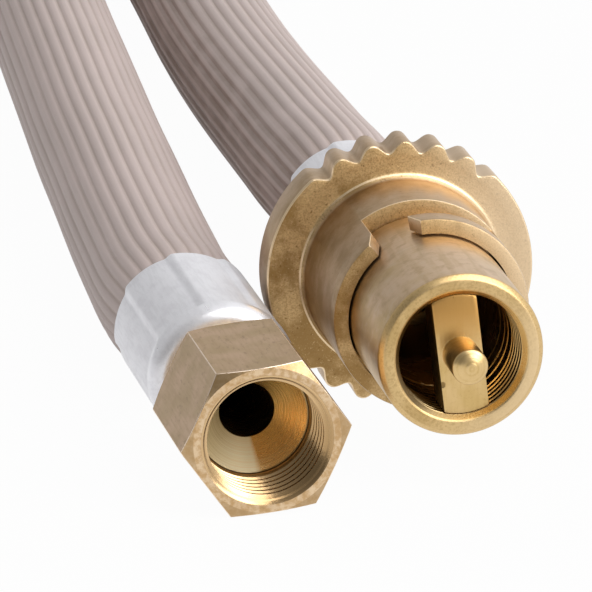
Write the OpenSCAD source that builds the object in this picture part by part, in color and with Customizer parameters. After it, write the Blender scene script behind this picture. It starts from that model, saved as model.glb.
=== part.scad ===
// Caravan gas hose: a brass bayonet plug on one end, a flare swivel nut on the other.
// Millimetres, +Z up. The origin is on the bayonet nozzle's axis, level with the front of the
// slotted ring that the socket comes up against, and the nozzle's mouth faces -Y.
// The hose lies on the surface that the plug's grip flange rests on.

/* [Bayonet nozzle] */
// Outside diameter of the nozzle
nozzle_d = 24.9; // [23.5:0.1:26]
// Bore of the nozzle at its mouth
nozzle_bore_d = 18.6; // [17.4:0.1:19.6]
// Length of the nozzle in front of the collar's ring
nozzle_reach = 20.5; // [14:0.5:24]
// Depth of the wide bore behind the mouth
nozzle_bore_depth = 28.5; // [18:0.5:30]
// Width of the bevels on the rim of the mouth
rim_bevel = 0.8; // [0.4:0.1:1.2]
// How far the rear shoulder stands out from the nozzle
shoulder_step = 2.6; // [1.8:0.1:2.8]
// Thickness of the rear shoulder
shoulder_t = 1.8; // [1.2:0.1:2.4]

/* [Bridge and pin] */
// Width of the bar across the mouth
bridge_w = 6.8; // [6:0.1:9]
// Thickness of the bar
bridge_t = 6; // [4:0.1:8]
// Depth of the bar's face behind the rim
bridge_inset = 1; // [0.4:0.1:3]
// Lean of the bar from upright
bridge_lean = -7; // [-45:1:45]
// Pitch of the screw thread that holds the bar
bridge_pitch = 1.3; // [1:0.1:1.6]
// Diameter of the pin that opens the socket's valve
pin_d = 5.4; // [4.4:0.1:6]
// Length of the pin in front of the bar
pin_reach = 7.5; // [4:0.5:12]

/* [Bayonet collar] */
// Outside diameter of the slotted ring and its hub
ring_d = 30; // [28.4:0.1:31]
// Depth of the slots behind the ring's front
slot_depth = 10.6; // [8:0.1:13]
// Thickness of the lugs in front of the slots' runs
lug_t = 3.4; // [2.4:0.1:5]
// Angle over which a slot is open at the front, inside its lead-in
slot_open = 23; // [18:1:30]
// How far the lead-in widens an opening on each side
lead_w = 1.3; // [0.6:0.1:1.6]
// Angle that a slot runs on behind its lug
slot_run = 62; // [45:1:75]
// Place of the first opening, clockwise from the top
slot_turn = -35; // [-180:1:180]
// Length of the hub between the slots and the flange
hub_l = 11.8; // [8:0.1:16]
// Diameter of the grip flange
flange_d = 41.6; // [40:0.2:48]
// Thickness of the grip flange
flange_t = 6.6; // [6.2:0.1:10]
// Rounding of the flange's edges
flange_round = 0.9; // [0.3:0.1:1.5]
// Notches in each of the two gripping sectors
notch_count = 6; // [3:1:8]
// Angle from notch to notch
notch_pitch = 15; // [12.5:0.5:16]
// Depth of a notch
notch_depth = 1.7; // [1:0.1:2.2]
// Place of the first gripping sector, clockwise from the top
notch_turn = 2; // [-90:0.5:90]

/* [Swivel fit] */
// Radial play of the swivel fits
swivel_play = 0.05; // [0.02:0.01:0.1]
// Thickness of the thrust washer
washer_t = 0.8; // [0.5:0.1:1.2]
// Thickness of the circlip
circlip_t = 1; // [0.8:0.1:1.2]
// Width of the circlip across its ring
circlip_w = 2.8; // [2:0.1:3.2]

/* [Flare nut] */
// Width of the nut across its flats
nut_af = 22.225; // [21.8:0.005:25]
// Length of the nut
nut_l = 22.5; // [20.4:0.1:24]
// Major diameter of the nut's thread
thread_d = 19.05; // [18.6:0.05:20]
// Pitch of the nut's thread
thread_pitch = 1.5875; // [1.4:0.0125:1.6]
// Slope of the chamfer on the nut's front corners
corner_slope = 24; // [5:1:30]
// Turn of the hexagon away from lying flat
nut_turn = 5.4; // [0:0.1:30]
// Depth of the flare seat's rim behind the nut's front
seat_inset = 10.6; // [9.6:0.1:11.4]
// Distance of the flare end to the left of the bayonet axis
flare_offset = 30.2; // [30:0.1:40]
// Distance of the nut's front ahead of the bayonet mouth
flare_lead = 6; // [0:0.5:12]
// Turn of the flare end away from the bayonet axis
flare_yaw = 1.25; // [0:0.05:3]

/* [Tails and ferrules] */
// Gas way through the tails
tail_bore_d = 8.4; // [6:0.1:9]
// Length of a crimped ferrule
ferrule_l = 30; // [28:0.5:36]
// Wall of a ferrule
ferrule_wall = 1.25; // [1:0.05:1.6]
// Wall of the hose's cover where a ferrule squeezes it
squeezed_wall = 1; // [0.8:0.05:1.4]
// How deep the crimp's dies pressed a ferrule
crimp_press = 0.5; // [0.3:0.05:0.7]
// Ridges left between the dies
crimp_ridges = 8; // [6:2:10]
// Height of a ridge
ridge_h = 0.45; // [0.2:0.05:0.6]
// Place of a ridge on the bayonet ferrule, clockwise from the top
bayonet_crimp_turn = 29; // [0:1:60]
// Place of a ridge on the flare ferrule, clockwise from the top
flare_crimp_turn = 33; // [0:1:60]
// Rounding of a ferrule's front edge
ferrule_round = 2.6; // [1.5:0.1:3]
// Thickness of a ferrule's front lip
ferrule_lip = 2.2; // [1.5:0.1:3]
// Thickness of the gasket behind the nozzle
gasket_t = 0.8; // [0.5:0.1:1]
// Barbs on each tail's stem
barb_count = 5; // [3:1:6]

/* [Hose] */
// Outside diameter of the hose over its ribs
hose_d = 22.2; // [21:0.1:22.6]
// Bore of the hose
hose_bore_d = 12.7; // [12.5:0.1:13.2]
// Lengthwise ribs round the hose
rib_count = 32; // [24:1:40]
// Height of a rib
rib_h = 0.5; // [0.3:0.05:0.8]
// Wall of the inner liner
liner_wall = 1.55; // [1:0.05:1.7]
// Thickness of the reinforcing braid
braid_wall = 0.45; // [0.3:0.05:0.6]
// Bend radius of the loop
loop_r = 88; // [88:1:100]
// Width of the strap that ties the loop's neck
tie_w = 14; // [10:0.5:15]
// Thickness of the strap
tie_t = 1.5; // [1:0.1:2]

/* [Hidden] */
$fn = 96;

// Small clearances, and the overlap that keeps a cut clean
layer_gap = 0.05;
fit_gap = 0.05;
cut = 1;

// Bayonet end, as distances behind the mouth
nozzle_r = nozzle_d / 2;
bore_r = nozzle_bore_d / 2;
ring_r = ring_d / 2;
flange_r = flange_d / 2;
floor_z = -flange_r;
ring_front = nozzle_reach;
slot_back = ring_front + slot_depth;
flange_front = slot_back + hub_l;
flange_rear = flange_front + flange_t;
ring_relief = 0.3;
ring_chamfer = 0.4;
hub_fillet = 0.8;
journal_step = 0.25;
journal_r = nozzle_r - journal_step;
pocket_wall = 1.5;
pocket_floor = flange_front + pocket_wall;
shoulder_front = pocket_floor + washer_t;
nozzle_rear = shoulder_front + shoulder_t;
shoulder_r = nozzle_r + shoulder_step;
pocket_gap = 0.3;
pocket_r = shoulder_r + pocket_gap;
circlip_play = 0.05;
circlip_front = nozzle_rear + circlip_play;
circlip_bite = 1;
circlip_r = pocket_r + circlip_bite;
circlip_mouth = 34;
wave_r = (flange_r - notch_depth / 2) * sin(notch_pitch / 4) + 0.03;
crest_r = wave_r + 0.05;

// Bridge and pin
bridge_back = bridge_inset + bridge_t;
bridge_thread_h = 0.45;
thread_run = bridge_back + 1;
pin_shank_d = pin_d - 1.8;
pin_tip_h = 0.9;
pin_ring_w = 0.5;
pin_ring_h = 0.3;
pin_peen_h = 1;

// Tails, as distances behind a ferrule's front face
gas_r = tail_bore_d / 2;
hose_r = hose_d / 2;
hose_bore_r = hose_bore_d / 2;
lip_r = 7.2;
barb_r = hose_bore_r - fit_gap;
barb_root = 0.6;
stem_l = ferrule_l - 2;
barb_step = (stem_l - ferrule_lip - 2) / barb_count;
tail_flange_r = 9.8;
stud_r = 8.4;
stud_l = 9;
tail_flange_t = 1.7;
bayonet_ferrule_s = nozzle_rear + gasket_t + tail_flange_t;

// Flare end, as distances behind the nut's front
minor_r = thread_d / 2 - 0.5 * thread_pitch;
nut_corner_r = nut_af / 2 / cos(30);
nut_chamfer = 1;
mouth_step = 0.4;
mouth_r = thread_d / 2 + mouth_step;
nut_wall = 2.4;
nut_land = nut_l - nut_wall;
neck_r = 6.65;
head_r = minor_r - 0.3;
seat_lip = 0.2;
relief_r = thread_d / 2 + 0.05;
thread_end = seat_inset - 0.6;
collar_gap = 0.3;
collar_l = 6.7;
tail_collar_r = 8.6;
flare_ferrule_s = nut_l + collar_gap + collar_l;
flare_z = floor_z + nut_corner_r * cos(30 - nut_turn);

// Hose layers, whose bores are polygons measured across their flats
layer_sides = 12;
liner_r = hose_bore_r + liner_wall;
braid_bore_r = liner_r + layer_gap;
braid_r = braid_bore_r + braid_wall;
cover_bore_r = braid_r + layer_gap;
hose_z = floor_z + hose_r;

// Ferrules, which squeeze the hose on its stem
squeezed_r = cover_bore_r + squeezed_wall;
crimp_r = squeezed_r + ferrule_wall;
ferrule_r = crimp_r + crimp_press;
ridge_r = 5 * ridge_h;
crimp_start = ferrule_round + 1;
ferrule_flare = 1.7;
rear_chamfer = 0.35;
bulge_r = squeezed_r + 0.8;
hose_start = ferrule_lip + fit_gap;
ease_h = 0.45;

// Tie, at the neck of the loop
tie_gap = 0.15;
tie_rest = 0.05;
tie_lift = tie_t + tie_gap + tie_rest;
tie_front = 283;
neck_y = 299;
neck_x = -6;
neck_half = 12.3;
tie_z = hose_z + tie_lift;

// The route's hand-chosen points in plan, with each point's height over the floor-lying hose.
// First the flare side, from its ferrule to the neck, then the bayonet side from the neck back.
flare_points = [
  [-31.9, 47, 0.3], [-31.3, 65, 0], [-30.5, 86, 0], [-29.3, 110, 0], [-28.2, 134, 0],
  [-26.8, 158, 0], [-25.4, 182, 0], [-23.9, 208, 0], [-22.2, 234, 0.2], [-20, 261, 1.1]];
bayonet_points = [
  [7, 261, 1.1], [6.5, 234, 0.2], [5.4, 210, 0.1], [4.4, 187, 0.7], [3.6, 165, 1.7],
  [2.9, 143, 3], [2.2, 123, 4.5], [1.2, 103, 6.4], [0.3, 88, 8], [0, 75, 9.2]];

function unit(v) = v / norm(v);
function flats(r, sides) = r / cos(180 / sides);
function polar(r, a) = [r * cos(a), r * sin(a)];
function smooth(u) = let (k = max(0, min(1, u))) k * k * (3 - 2 * k);

// Points on the two axes: a distance behind the nozzle's mouth, and behind the nut's front
function on_axis(s) = [0, s - nozzle_reach, 0];
function on_flare(s) = on_axis(-flare_lead)
  + [-flare_offset - s * sin(flare_yaw), s * cos(flare_yaw), flare_z];

// The loop in plan: out, round and back, as three arcs that join smoothly
loop_steps = 24;
sweep_out = acos((neck_half + loop_r) / (2 * loop_r));
out_l = loop_r * sweep_out * PI / 180;
round_l = loop_r * (180 + 2 * sweep_out) * PI / 180;
loop_l = 2 * out_l + round_l;
settle_l = 90;
loop_centre_y = neck_y + 2 * loop_r * sin(sweep_out);
function turned(l) = l * 180 / (PI * loop_r);
function loop_plan(l) =
  l < out_l ? [neck_x - neck_half - loop_r + loop_r * cos(turned(l)), neck_y + loop_r * sin(turned(l))]
  : l > loop_l - out_l ? let (p = loop_plan(loop_l - l)) [2 * neck_x - p[0], p[1]]
  : let (a = 180 + sweep_out - turned(l - out_l)) [neck_x, loop_centre_y] + polar(loop_r, a);
function loop_lift(l) = tie_lift * (1 - smooth(min(l, loop_l - l) / settle_l));
function loop_at(l) = let (p = loop_plan(l)) [p[0], p[1], hose_z + loop_lift(l)];

// Rings along the hose: each has its centre, the radius of its crests and that of its valleys
function whole(p) = [p, hose_r, hose_r - rib_h];
function easing(p) = [p, hose_r - ease_h, hose_r - ease_h - rib_h];
function squeezed(p, r) = [p, r, r];
crimped = [[hose_start, squeezed_r - fit_gap], [ferrule_l - ferrule_flare + 0.1, squeezed_r - fit_gap],
  [ferrule_l, bulge_r]];
neck_points = [[neck_x - neck_half, neck_y, tie_z], [neck_x + neck_half, neck_y, tie_z]];
tie_points = [for (p = neck_points) [p[0], tie_front, tie_z]];
flare_rings = concat(
  [for (c = crimped) squeezed(on_flare(flare_ferrule_s + c[0]), c[1])],
  [easing(on_flare(flare_ferrule_s + ferrule_l + 3))],
  [for (p = flare_points) whole([p[0], p[1], hose_z + p[2]])],
  [whole(tie_points[0]), whole(neck_points[0])]);
loop_rings = [for (i = [0:loop_steps]) whole(loop_at(loop_l * i / loop_steps))];
bayonet_rings = concat(
  [whole(neck_points[1]), whole(tie_points[1])],
  [for (p = bayonet_points) whole([p[0], p[1], hose_z + p[2]])],
  [easing(on_axis(bayonet_ferrule_s + ferrule_l + 3))],
  [for (i = [2:-1:0]) squeezed(on_axis(bayonet_ferrule_s + crimped[i][0]), crimped[i][1])]);
all_rings = concat(flare_rings, [for (i = [1:loop_steps - 1]) loop_rings[i]], bayonet_rings);

// A ring's own sideways and upward directions, square to the route
function along(rings, i) = unit(rings[min(i + 1, len(rings) - 1)][0] - rings[max(i - 1, 0)][0]);
function placed(centre, ahead, pts) =
  let (side = unit(cross(ahead, [0, 0, 1])), up = cross(side, ahead))
  [for (p = pts) centre + p[0] * side + p[1] * up];
function circle_points(r, sides) = [for (k = [0:sides - 1]) polar(r, 360 * k / sides)];
function rib_points(crest, valley) =
  [for (k = [0:2 * rib_count - 1]) polar(k % 2 == 0 ? crest : valley, 180 * k / rib_count - 90)];

// Direction in which the route runs at a ring, straight at both ends of each stretch
function run_way(rings, i, first, last) = i == 0 ? first : i == len(rings) - 1 ? last : along(rings, i);
flare_way = [-sin(flare_yaw), cos(flare_yaw), 0];
away = [0, 1, 0];
back = [0, -1, 0];

// A hollow tube through rings of outer and inner points
function tube_faces(n, outer, inner) =
  let (m = outer + inner,
    skin = function (i, j, lo, c) m * i + lo + (j % c),
    wall = function (lo, c, flip) [for (i = [0:n - 2], j = [0:c - 1])
      let (a = skin(i, j, lo, c), b = skin(i, j + 1, lo, c), d = skin(i + 1, j, lo, c),
        e = skin(i + 1, j + 1, lo, c))
      each flip ? [[a, b, e], [a, e, d]] : [[a, e, b], [a, d, e]]],
    cap = function (i, flip) [for (j = [0:outer - 1])
      let (a = skin(i, j, 0, outer), b = skin(i, j + 1, 0, outer),
        k0 = floor(j * inner / outer), k1 = floor((j + 1) * inner / outer),
        c = skin(i, k0, outer, inner), d = skin(i, k1, outer, inner))
      each k0 == k1 ? [flip ? [a, c, b] : [a, b, c]]
        : (flip ? [[a, c, b], [b, c, d]] : [[a, b, c], [b, d, c]])])
  concat(wall(0, outer, true), wall(outer, inner, false), cap(0, true), cap(n - 1, false));

module tube(rings, first, last, outer_at, bore_r) {
  bore = circle_points(flats(bore_r, layer_sides), layer_sides);
  stations = [for (i = [0:len(rings) - 1])
    let (way = run_way(rings, i, first, last))
    concat(placed(rings[i][0], way, outer_at(rings[i])), placed(rings[i][0], way, bore))];
  outer = len(outer_at(rings[0]));
  polyhedron([for (s = stations) each s], tube_faces(len(rings), outer, layer_sides), convexity = 8);
}

module cover(rings, first, last) {
  tube(rings, first, last, function (ring) rib_points(ring[1], ring[2]), cover_bore_r);
}

module layer(outer_r, bore_r) {
  skin = circle_points(flats(outer_r, layer_sides), layer_sides);
  tube(all_rings, flare_way, back, function (ring) skin, bore_r);
}

// Least gap of the hose to itself, between points further apart along it than a half turn
gap_step = 8;
gap_points = [for (l = [0:gap_step:loop_l]) loop_at(l)];
self_gap = min([for (i = [0:len(gap_points) - 1], j = [i + 1:1:len(gap_points) - 1])
  if ((j - i) * gap_step > PI * loop_r) norm(gap_points[i] - gap_points[j])]) - hose_d;
echo(least_gap_of_the_loop_to_itself = self_gap);

// Placing: along the bayonet axis, and along the flare axis
module on_bayonet(s = 0) {
  translate(on_axis(s)) rotate([-90, 0, 0]) children();
}

module on_flare_axis(s = 0) {
  translate(on_flare(s)) rotate([0, 0, flare_yaw]) rotate([-90, 0, 0]) children();
}

// Turned shape from points of radius and distance
module turned_shape(pts) {
  rotate_extrude() polygon(pts);
}

// Plain ring between two radii
module washer(inner_r, outer_r, t) {
  difference() {
    cylinder(r = outer_r, h = t);
    translate([0, 0, -cut]) cylinder(r = inner_r, h = t + 2 * cut);
  }
}

// Row of vee grooves, cut outwards from a bore
module thread_grooves(r, depth, pitch, from, to) {
  half = depth * tan(30);
  for (s = [from + half:pitch:to - half])
    turned_shape([[r - depth / 2, s - half * 1.5], [r + depth, s], [r - depth / 2, s + half * 1.5]]);
}

// Pie slice in plan, from one clockwise angle to another
module pie(from, to, r) {
  steps = 6;
  polygon(concat([[0, 0]], [for (i = [0:steps]) polar(r, from - 90 + (to - from) * i / steps)]));
}

// Bayonet end
module nozzle() {
  stud_bore = nozzle_rear - stud_l - gasket_t;
  color("#b98f62") on_bayonet() difference() {
    turned_shape([
      [gas_r, 0.5], [bore_r + rim_bevel, 0], [nozzle_r - rim_bevel, 0], [nozzle_r, rim_bevel],
      [nozzle_r, ring_front], [journal_r, ring_front],
      [journal_r, shoulder_front], [shoulder_r, shoulder_front], [shoulder_r, nozzle_rear],
      [gas_r, nozzle_rear]]);
    turned_shape([
      [0, -cut], [bore_r + rim_bevel + cut, -cut], [bore_r, rim_bevel], [bore_r, nozzle_bore_depth],
      [gas_r + 1, nozzle_bore_depth + bore_r - gas_r - 1], [0, nozzle_bore_depth + bore_r - gas_r - 1]]);
    thread_grooves(bore_r, bridge_thread_h, bridge_pitch, rim_bevel, thread_run);
    cylinder(r = gas_r + 1, h = nozzle_rear + cut);
    translate([0, 0, stud_bore]) cylinder(r = stud_r + fit_gap, h = nozzle_rear);
  }
}

module bridge() {
  bar_l = 2 * bore_r + 2 * cut;
  color("#c9a468") on_bayonet(bridge_inset) rotate([0, 0, bridge_lean]) difference() {
    intersection() {
      cylinder(r = bore_r - fit_gap, h = bridge_t);
      translate([-bridge_w / 2, -bar_l / 2, 0]) cube([bridge_w, bar_l, bridge_t]);
    }
    translate([0, 0, -cut]) cylinder(d = pin_shank_d + 2 * fit_gap, h = bridge_t + 2 * cut);
    translate([0, 0, -pin_ring_h]) washer(pin_d / 2, pin_d / 2 + pin_ring_w, 2 * pin_ring_h);
  }
}

module actuator_pin() {
  tip_r = 0.8;
  color("#d0a763") on_bayonet(bridge_inset) turned_shape([
    [0, -pin_reach], [tip_r, -pin_reach], [pin_d / 2, pin_tip_h - pin_reach], [pin_d / 2, 0],
    [pin_shank_d / 2, 0], [pin_shank_d / 2, bridge_t],
    [pin_d / 2, bridge_t], [pin_d / 2 - 0.5, bridge_t + pin_peen_h], [0, bridge_t + pin_peen_h]]);
}

module flange_outline() {
  wave_half = notch_pitch * (notch_count - 1) / 2;
  difference() {
    union() {
      difference() {
        circle(flange_r);
        for (side = [0, 180]) difference() {
          pie(notch_turn + side - wave_half, notch_turn + side + wave_half, flange_d);
          circle(flange_r - crest_r);
        }
      }
      for (side = [0, 180], i = [0:notch_count - 2])
        rotate(notch_turn + side - wave_half + notch_pitch * (i + 0.5) - 90)
          translate([flange_r - crest_r, 0]) circle(crest_r, $fn = 24);
    }
    for (side = [0, 180], i = [0:notch_count - 1])
      rotate(notch_turn + side - wave_half + notch_pitch * i - 90)
        translate([flange_r - notch_depth + wave_r, 0]) circle(wave_r, $fn = 24);
  }
}

module flange_body() {
  intersection() {
    translate([0, 0, flange_front]) linear_extrude(flange_t) flange_outline();
    turned_shape([
      [0, flange_front], [flange_r - flange_round, flange_front], [flange_r, flange_front + flange_round],
      [flange_r, flange_rear - flange_round], [flange_r - flange_round, flange_rear], [0, flange_rear]]);
  }
}

// Slanted cut that widens an opening towards the front, from one of its walls
module lead_in(turn, way) {
  overlap = 0.5;
  lead_l = lug_t - 0.3;
  rotate(turn - 90) rotate([90, 0, 90]) linear_extrude(ring_d) polygon([
    [-way * overlap, ring_front - cut], [way * lead_w * (1 + cut / lead_l), ring_front - cut],
    [-way * overlap, ring_front + lead_l * (1 + overlap / lead_w)]]);
}

module bayonet_collar() {
  color("#a8854f") on_bayonet() difference() {
    union() {
      turned_shape([
        [0, ring_front], [ring_r - ring_chamfer, ring_front], [ring_r, ring_front + ring_chamfer],
        [ring_r, flange_front - hub_fillet], [ring_r + hub_fillet, flange_front],
        [ring_r + hub_fillet, flange_front + cut], [0, flange_front + cut]]);
      flange_body();
    }
    translate([0, 0, ring_front - cut]) cylinder(r = nozzle_r + ring_relief, h = slot_depth + cut);
    translate([0, 0, ring_front - cut]) cylinder(r = journal_r + swivel_play, h = flange_rear);
    translate([0, 0, pocket_floor]) cylinder(r = pocket_r, h = flange_rear);
    translate([0, 0, nozzle_rear]) cylinder(r = circlip_r + circlip_play, h = circlip_t + 2 * circlip_play);
    for (side = [0, 180]) {
      translate([0, 0, ring_front - cut]) linear_extrude(slot_depth + cut)
        pie(slot_turn + side, slot_turn + side + slot_open, ring_d);
      translate([0, 0, ring_front + lug_t]) linear_extrude(slot_depth - lug_t)
        pie(slot_turn + side, slot_turn + side + slot_open + slot_run, ring_d);
      lead_in(slot_turn + side, -1);
      lead_in(slot_turn + side + slot_open, 1);
    }
  }
}

module thrust_washer() {
  color("#d8cfae") on_bayonet(pocket_floor) washer(journal_r + swivel_play, shoulder_r, washer_t);
}

module collar_circlip() {
  ear_r = 1.9;
  ear_hole_d = 1.4;
  ear_at = circlip_r - circlip_w - 0.2;
  ear_turn = circlip_mouth / 2 + 7;
  color("#4d4f52") on_bayonet(circlip_front) linear_extrude(circlip_t) difference() {
    union() {
      difference() {
        circle(circlip_r);
        circle(circlip_r - circlip_w);
        pie(-circlip_mouth / 2, circlip_mouth / 2, flange_d);
      }
      for (side = [-1, 1]) rotate(side * ear_turn - 90) translate([ear_at, 0]) circle(ear_r);
    }
    for (side = [-1, 1]) rotate(side * ear_turn - 90) translate([ear_at, 0]) circle(d = ear_hole_d);
  }
}

module tail_gasket() {
  color("#3a3d40") on_bayonet(nozzle_rear) washer(stud_r + fit_gap, tail_flange_r, gasket_t);
}

// Stem with barbs that the hose is crimped on, measured from the ferrule's front face
module barbed_stem() {
  first = ferrule_lip + 2;
  turned_shape(concat(
    [[gas_r, 0], [lip_r - fit_gap, 0], [lip_r - fit_gap, ferrule_lip], [barb_r - barb_root, ferrule_lip]],
    [for (i = [0:barb_count - 1]) each [
      [barb_r - barb_root, first + i * barb_step], [barb_r, first + i * barb_step + 0.4],
      [barb_r, first + i * barb_step + 1.2]]],
    [[barb_r - barb_root, stem_l], [gas_r, stem_l]]));
}

module bayonet_tail() {
  color("#c39a5b") on_bayonet(bayonet_ferrule_s) {
    barbed_stem();
    translate([0, 0, -tail_flange_t]) washer(gas_r, tail_flange_r, tail_flange_t);
    translate([0, 0, -tail_flange_t - stud_l]) washer(gas_r, stud_r, stud_l);
  }
}

// Section of the crimp: round where the dies pressed, with ridges between them
module crimp_section(turn) {
  circle(crimp_r);
  for (i = [0:crimp_ridges - 1]) rotate(turn - 90 + 360 * i / crimp_ridges)
    translate([crimp_r + ridge_h - ridge_r, 0]) circle(ridge_r);
}

// Crimped shell that grips the hose on its stem
module ferrule(turn) {
  facets = 8;
  arc_centre = [ferrule_r - ferrule_round, ferrule_round];
  arc = [for (i = [0:facets]) arc_centre + polar(ferrule_round, 90 * i / facets - 90)];
  difference() {
    turned_shape(concat([[lip_r, 0]], arc, [
      [ferrule_r, ferrule_l - rear_chamfer], [ferrule_r - rear_chamfer, ferrule_l],
      [squeezed_r + ferrule_flare * 0.6, ferrule_l], [squeezed_r, ferrule_l - ferrule_flare],
      [squeezed_r, ferrule_lip], [lip_r, ferrule_lip]]));
    difference() {
      translate([0, 0, crimp_start]) cylinder(r = 2 * ferrule_r, h = ferrule_l);
      linear_extrude(2 * ferrule_l) crimp_section(turn);
    }
  }
}

module bayonet_ferrule() {
  color("#c9cace") on_bayonet(bayonet_ferrule_s) ferrule(bayonet_crimp_turn);
}

// Flare end
module flare_nut() {
  color("#a88a66") on_flare_axis() difference() {
    intersection() {
      rotate(-nut_turn) cylinder(r = nut_corner_r, h = nut_l, $fn = 6);
      turned_shape([
        [0, 0], [nut_af / 2, 0], [nut_corner_r + cut, (nut_corner_r + cut - nut_af / 2) * tan(corner_slope)],
        [nut_corner_r + cut, nut_l - nut_chamfer - cut * 0.6],
        [nut_corner_r - nut_chamfer * 1.4, nut_l], [0, nut_l]]);
    }
    turned_shape([
      [0, -cut], [mouth_r + cut, -cut], [minor_r, mouth_r - minor_r],
      [minor_r, thread_end], [relief_r, thread_end], [relief_r, nut_land - (relief_r - neck_r)],
      [neck_r + swivel_play, nut_land - swivel_play],
      [neck_r + swivel_play, nut_l + cut], [0, nut_l + cut]]);
    thread_grooves(minor_r, thread_d / 2 - minor_r, thread_pitch, mouth_step, thread_end);
  }
}

module flare_tail() {
  seat_r = head_r - seat_lip;
  collar_front = nut_l + collar_gap;
  color("#c39a5b") on_flare_axis() {
    turned_shape([
      [gas_r, seat_inset + seat_r - gas_r], [seat_r, seat_inset], [head_r, seat_inset],
      [head_r, nut_land - (head_r - neck_r) - 2 * swivel_play], [neck_r, nut_land - 2 * swivel_play],
      [neck_r, collar_front], [tail_collar_r, collar_front], [tail_collar_r, flare_ferrule_s],
      [gas_r, flare_ferrule_s]]);
    translate([0, 0, flare_ferrule_s]) barbed_stem();
  }
}

module flare_ferrule() {
  color("#c9cace") on_flare_axis(flare_ferrule_s) ferrule(flare_crimp_turn);
}

// Hose
module flare_hose_run() {
  color("#a3938a") cover(flare_rings, flare_way, away);
}

module hose_loop() {
  color("#a3938a") cover(loop_rings, away, back);
}

module bayonet_hose_run() {
  color("#a3938a") cover(bayonet_rings, back, back);
}

module hose_braid() {
  color("#d9d4c4") layer(braid_r, braid_bore_r);
}

module hose_liner() {
  color("#2f3032") layer(liner_r, hose_bore_r);
}

module tie_outline(r) {
  for (side = [-1, 1]) translate([side * neck_half, 0]) circle(r);
  square([2 * neck_half, 2 * r], center = true);
}

module hose_tie() {
  color("#26282b") translate([neck_x, tie_front, tie_z]) rotate([-90, 0, 0]) linear_extrude(tie_w)
    difference() {
      tie_outline(hose_r + tie_gap + tie_t);
      tie_outline(hose_r + tie_gap);
    }
}

nozzle();
bridge();
actuator_pin();
bayonet_collar();
thrust_washer();
collar_circlip();
tail_gasket();
bayonet_tail();
bayonet_ferrule();
flare_nut();
flare_tail();
flare_ferrule();
flare_hose_run();
hose_loop();
bayonet_hose_run();
hose_braid();
hose_liner();
hose_tie();
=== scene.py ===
import math

import bmesh
import bpy
from bmesh.types import BMEdge, BMVert
from bpy.props import FloatProperty, FloatVectorProperty, IntProperty, PointerProperty
from mathutils import Matrix, Vector
from mathutils.geometry import interpolate_bezier


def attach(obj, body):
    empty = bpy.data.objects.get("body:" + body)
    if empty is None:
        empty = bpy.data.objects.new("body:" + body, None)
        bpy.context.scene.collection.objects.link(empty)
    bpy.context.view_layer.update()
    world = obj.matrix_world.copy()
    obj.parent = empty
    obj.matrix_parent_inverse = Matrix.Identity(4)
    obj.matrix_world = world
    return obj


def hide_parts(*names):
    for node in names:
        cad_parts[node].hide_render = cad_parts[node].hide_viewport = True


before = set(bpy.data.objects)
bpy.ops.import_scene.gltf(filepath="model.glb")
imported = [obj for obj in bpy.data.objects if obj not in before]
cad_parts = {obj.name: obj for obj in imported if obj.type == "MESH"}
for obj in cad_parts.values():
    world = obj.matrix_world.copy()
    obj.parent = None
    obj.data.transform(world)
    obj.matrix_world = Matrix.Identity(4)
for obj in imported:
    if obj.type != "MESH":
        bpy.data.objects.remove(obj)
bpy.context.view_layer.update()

bl_info = {
    "name": "Caravan gas hose",
    "version": (1, 0, 0),
    "blender": (4, 5, 0),
    "location": "View3D > Sidebar > Gas hose",
    "description": "Dresses the solids of a caravan gas hose in brass, alloy and ribbed hose",
    "category": "Object",
}

# Lengths in the shape code are millimetres, and MM turns them into metres.
MM = 0.001
ROOT = "hose_assembly"
FLOOR_Z = -20.8
MOUTH_Y = -20.5
FLARE_YAW = math.radians(1.25)
FLARE_FRONT = (-30.2, -26.5, -9.133)
SMOOTH_BELOW = math.radians(32)
MERGE_BELOW = 0.0005

# The bayonet axis is Y through the origin. The flare axis starts at the nut's front.
BAYONET = Matrix.Identity(4)
FLARE = Matrix.Translation(Vector(FLARE_FRONT) * MM) @ Matrix.Rotation(FLARE_YAW, 4, "Z")


def length(name, text, millimetres):
    """A length that the sidebar shows, given in millimetres."""
    return FloatProperty(name=name, description=text, default=millimetres * MM, unit="LENGTH")


def colour(name, text, value):
    """A colour that the sidebar shows."""
    return FloatVectorProperty(
        name=name, description=text, default=value, subtype="COLOR", size=3, min=0, max=1
    )


class HoseSizes(bpy.types.PropertyGroup):
    """Sizes of the hose and its strap."""

    diameter: length("Diameter", "Outside diameter over the ribs", 22.2)
    bore: length("Bore", "Inside diameter of the lining", 12.7)
    ribs: IntProperty(name="Ribs", description="Lengthwise ribs round the hose", default=32)
    rib_height: length("Rib height", "Height of a rib", 0.32)
    loop_radius: length("Loop radius", "Bend radius of the stored loop", 88)
    strap_width: length("Strap width", "Width of the strap round the loop's neck", 14)
    strap_thickness: length("Strap thickness", "Thickness of the strap", 1.5)


class FittingSizes(bpy.types.PropertyGroup):
    """Fine sizes of the brass and alloy pieces."""

    rim_round: length("Rim rounding", "Rounding of the nozzle's rim", 0.28)
    edge_round: length("Edge rounding", "Rounding of the collar's slots", 0.12)
    flange_round: length("Flange rounding", "Rounding of the grip flange's edges", 0.28)
    hexagon_round: length("Hexagon rounding", "Rounding of the nut's long edges", 0.22)
    crimp: length("Crimp diameter", "Diameter of a ferrule where the dies pressed it", 21.4)


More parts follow.
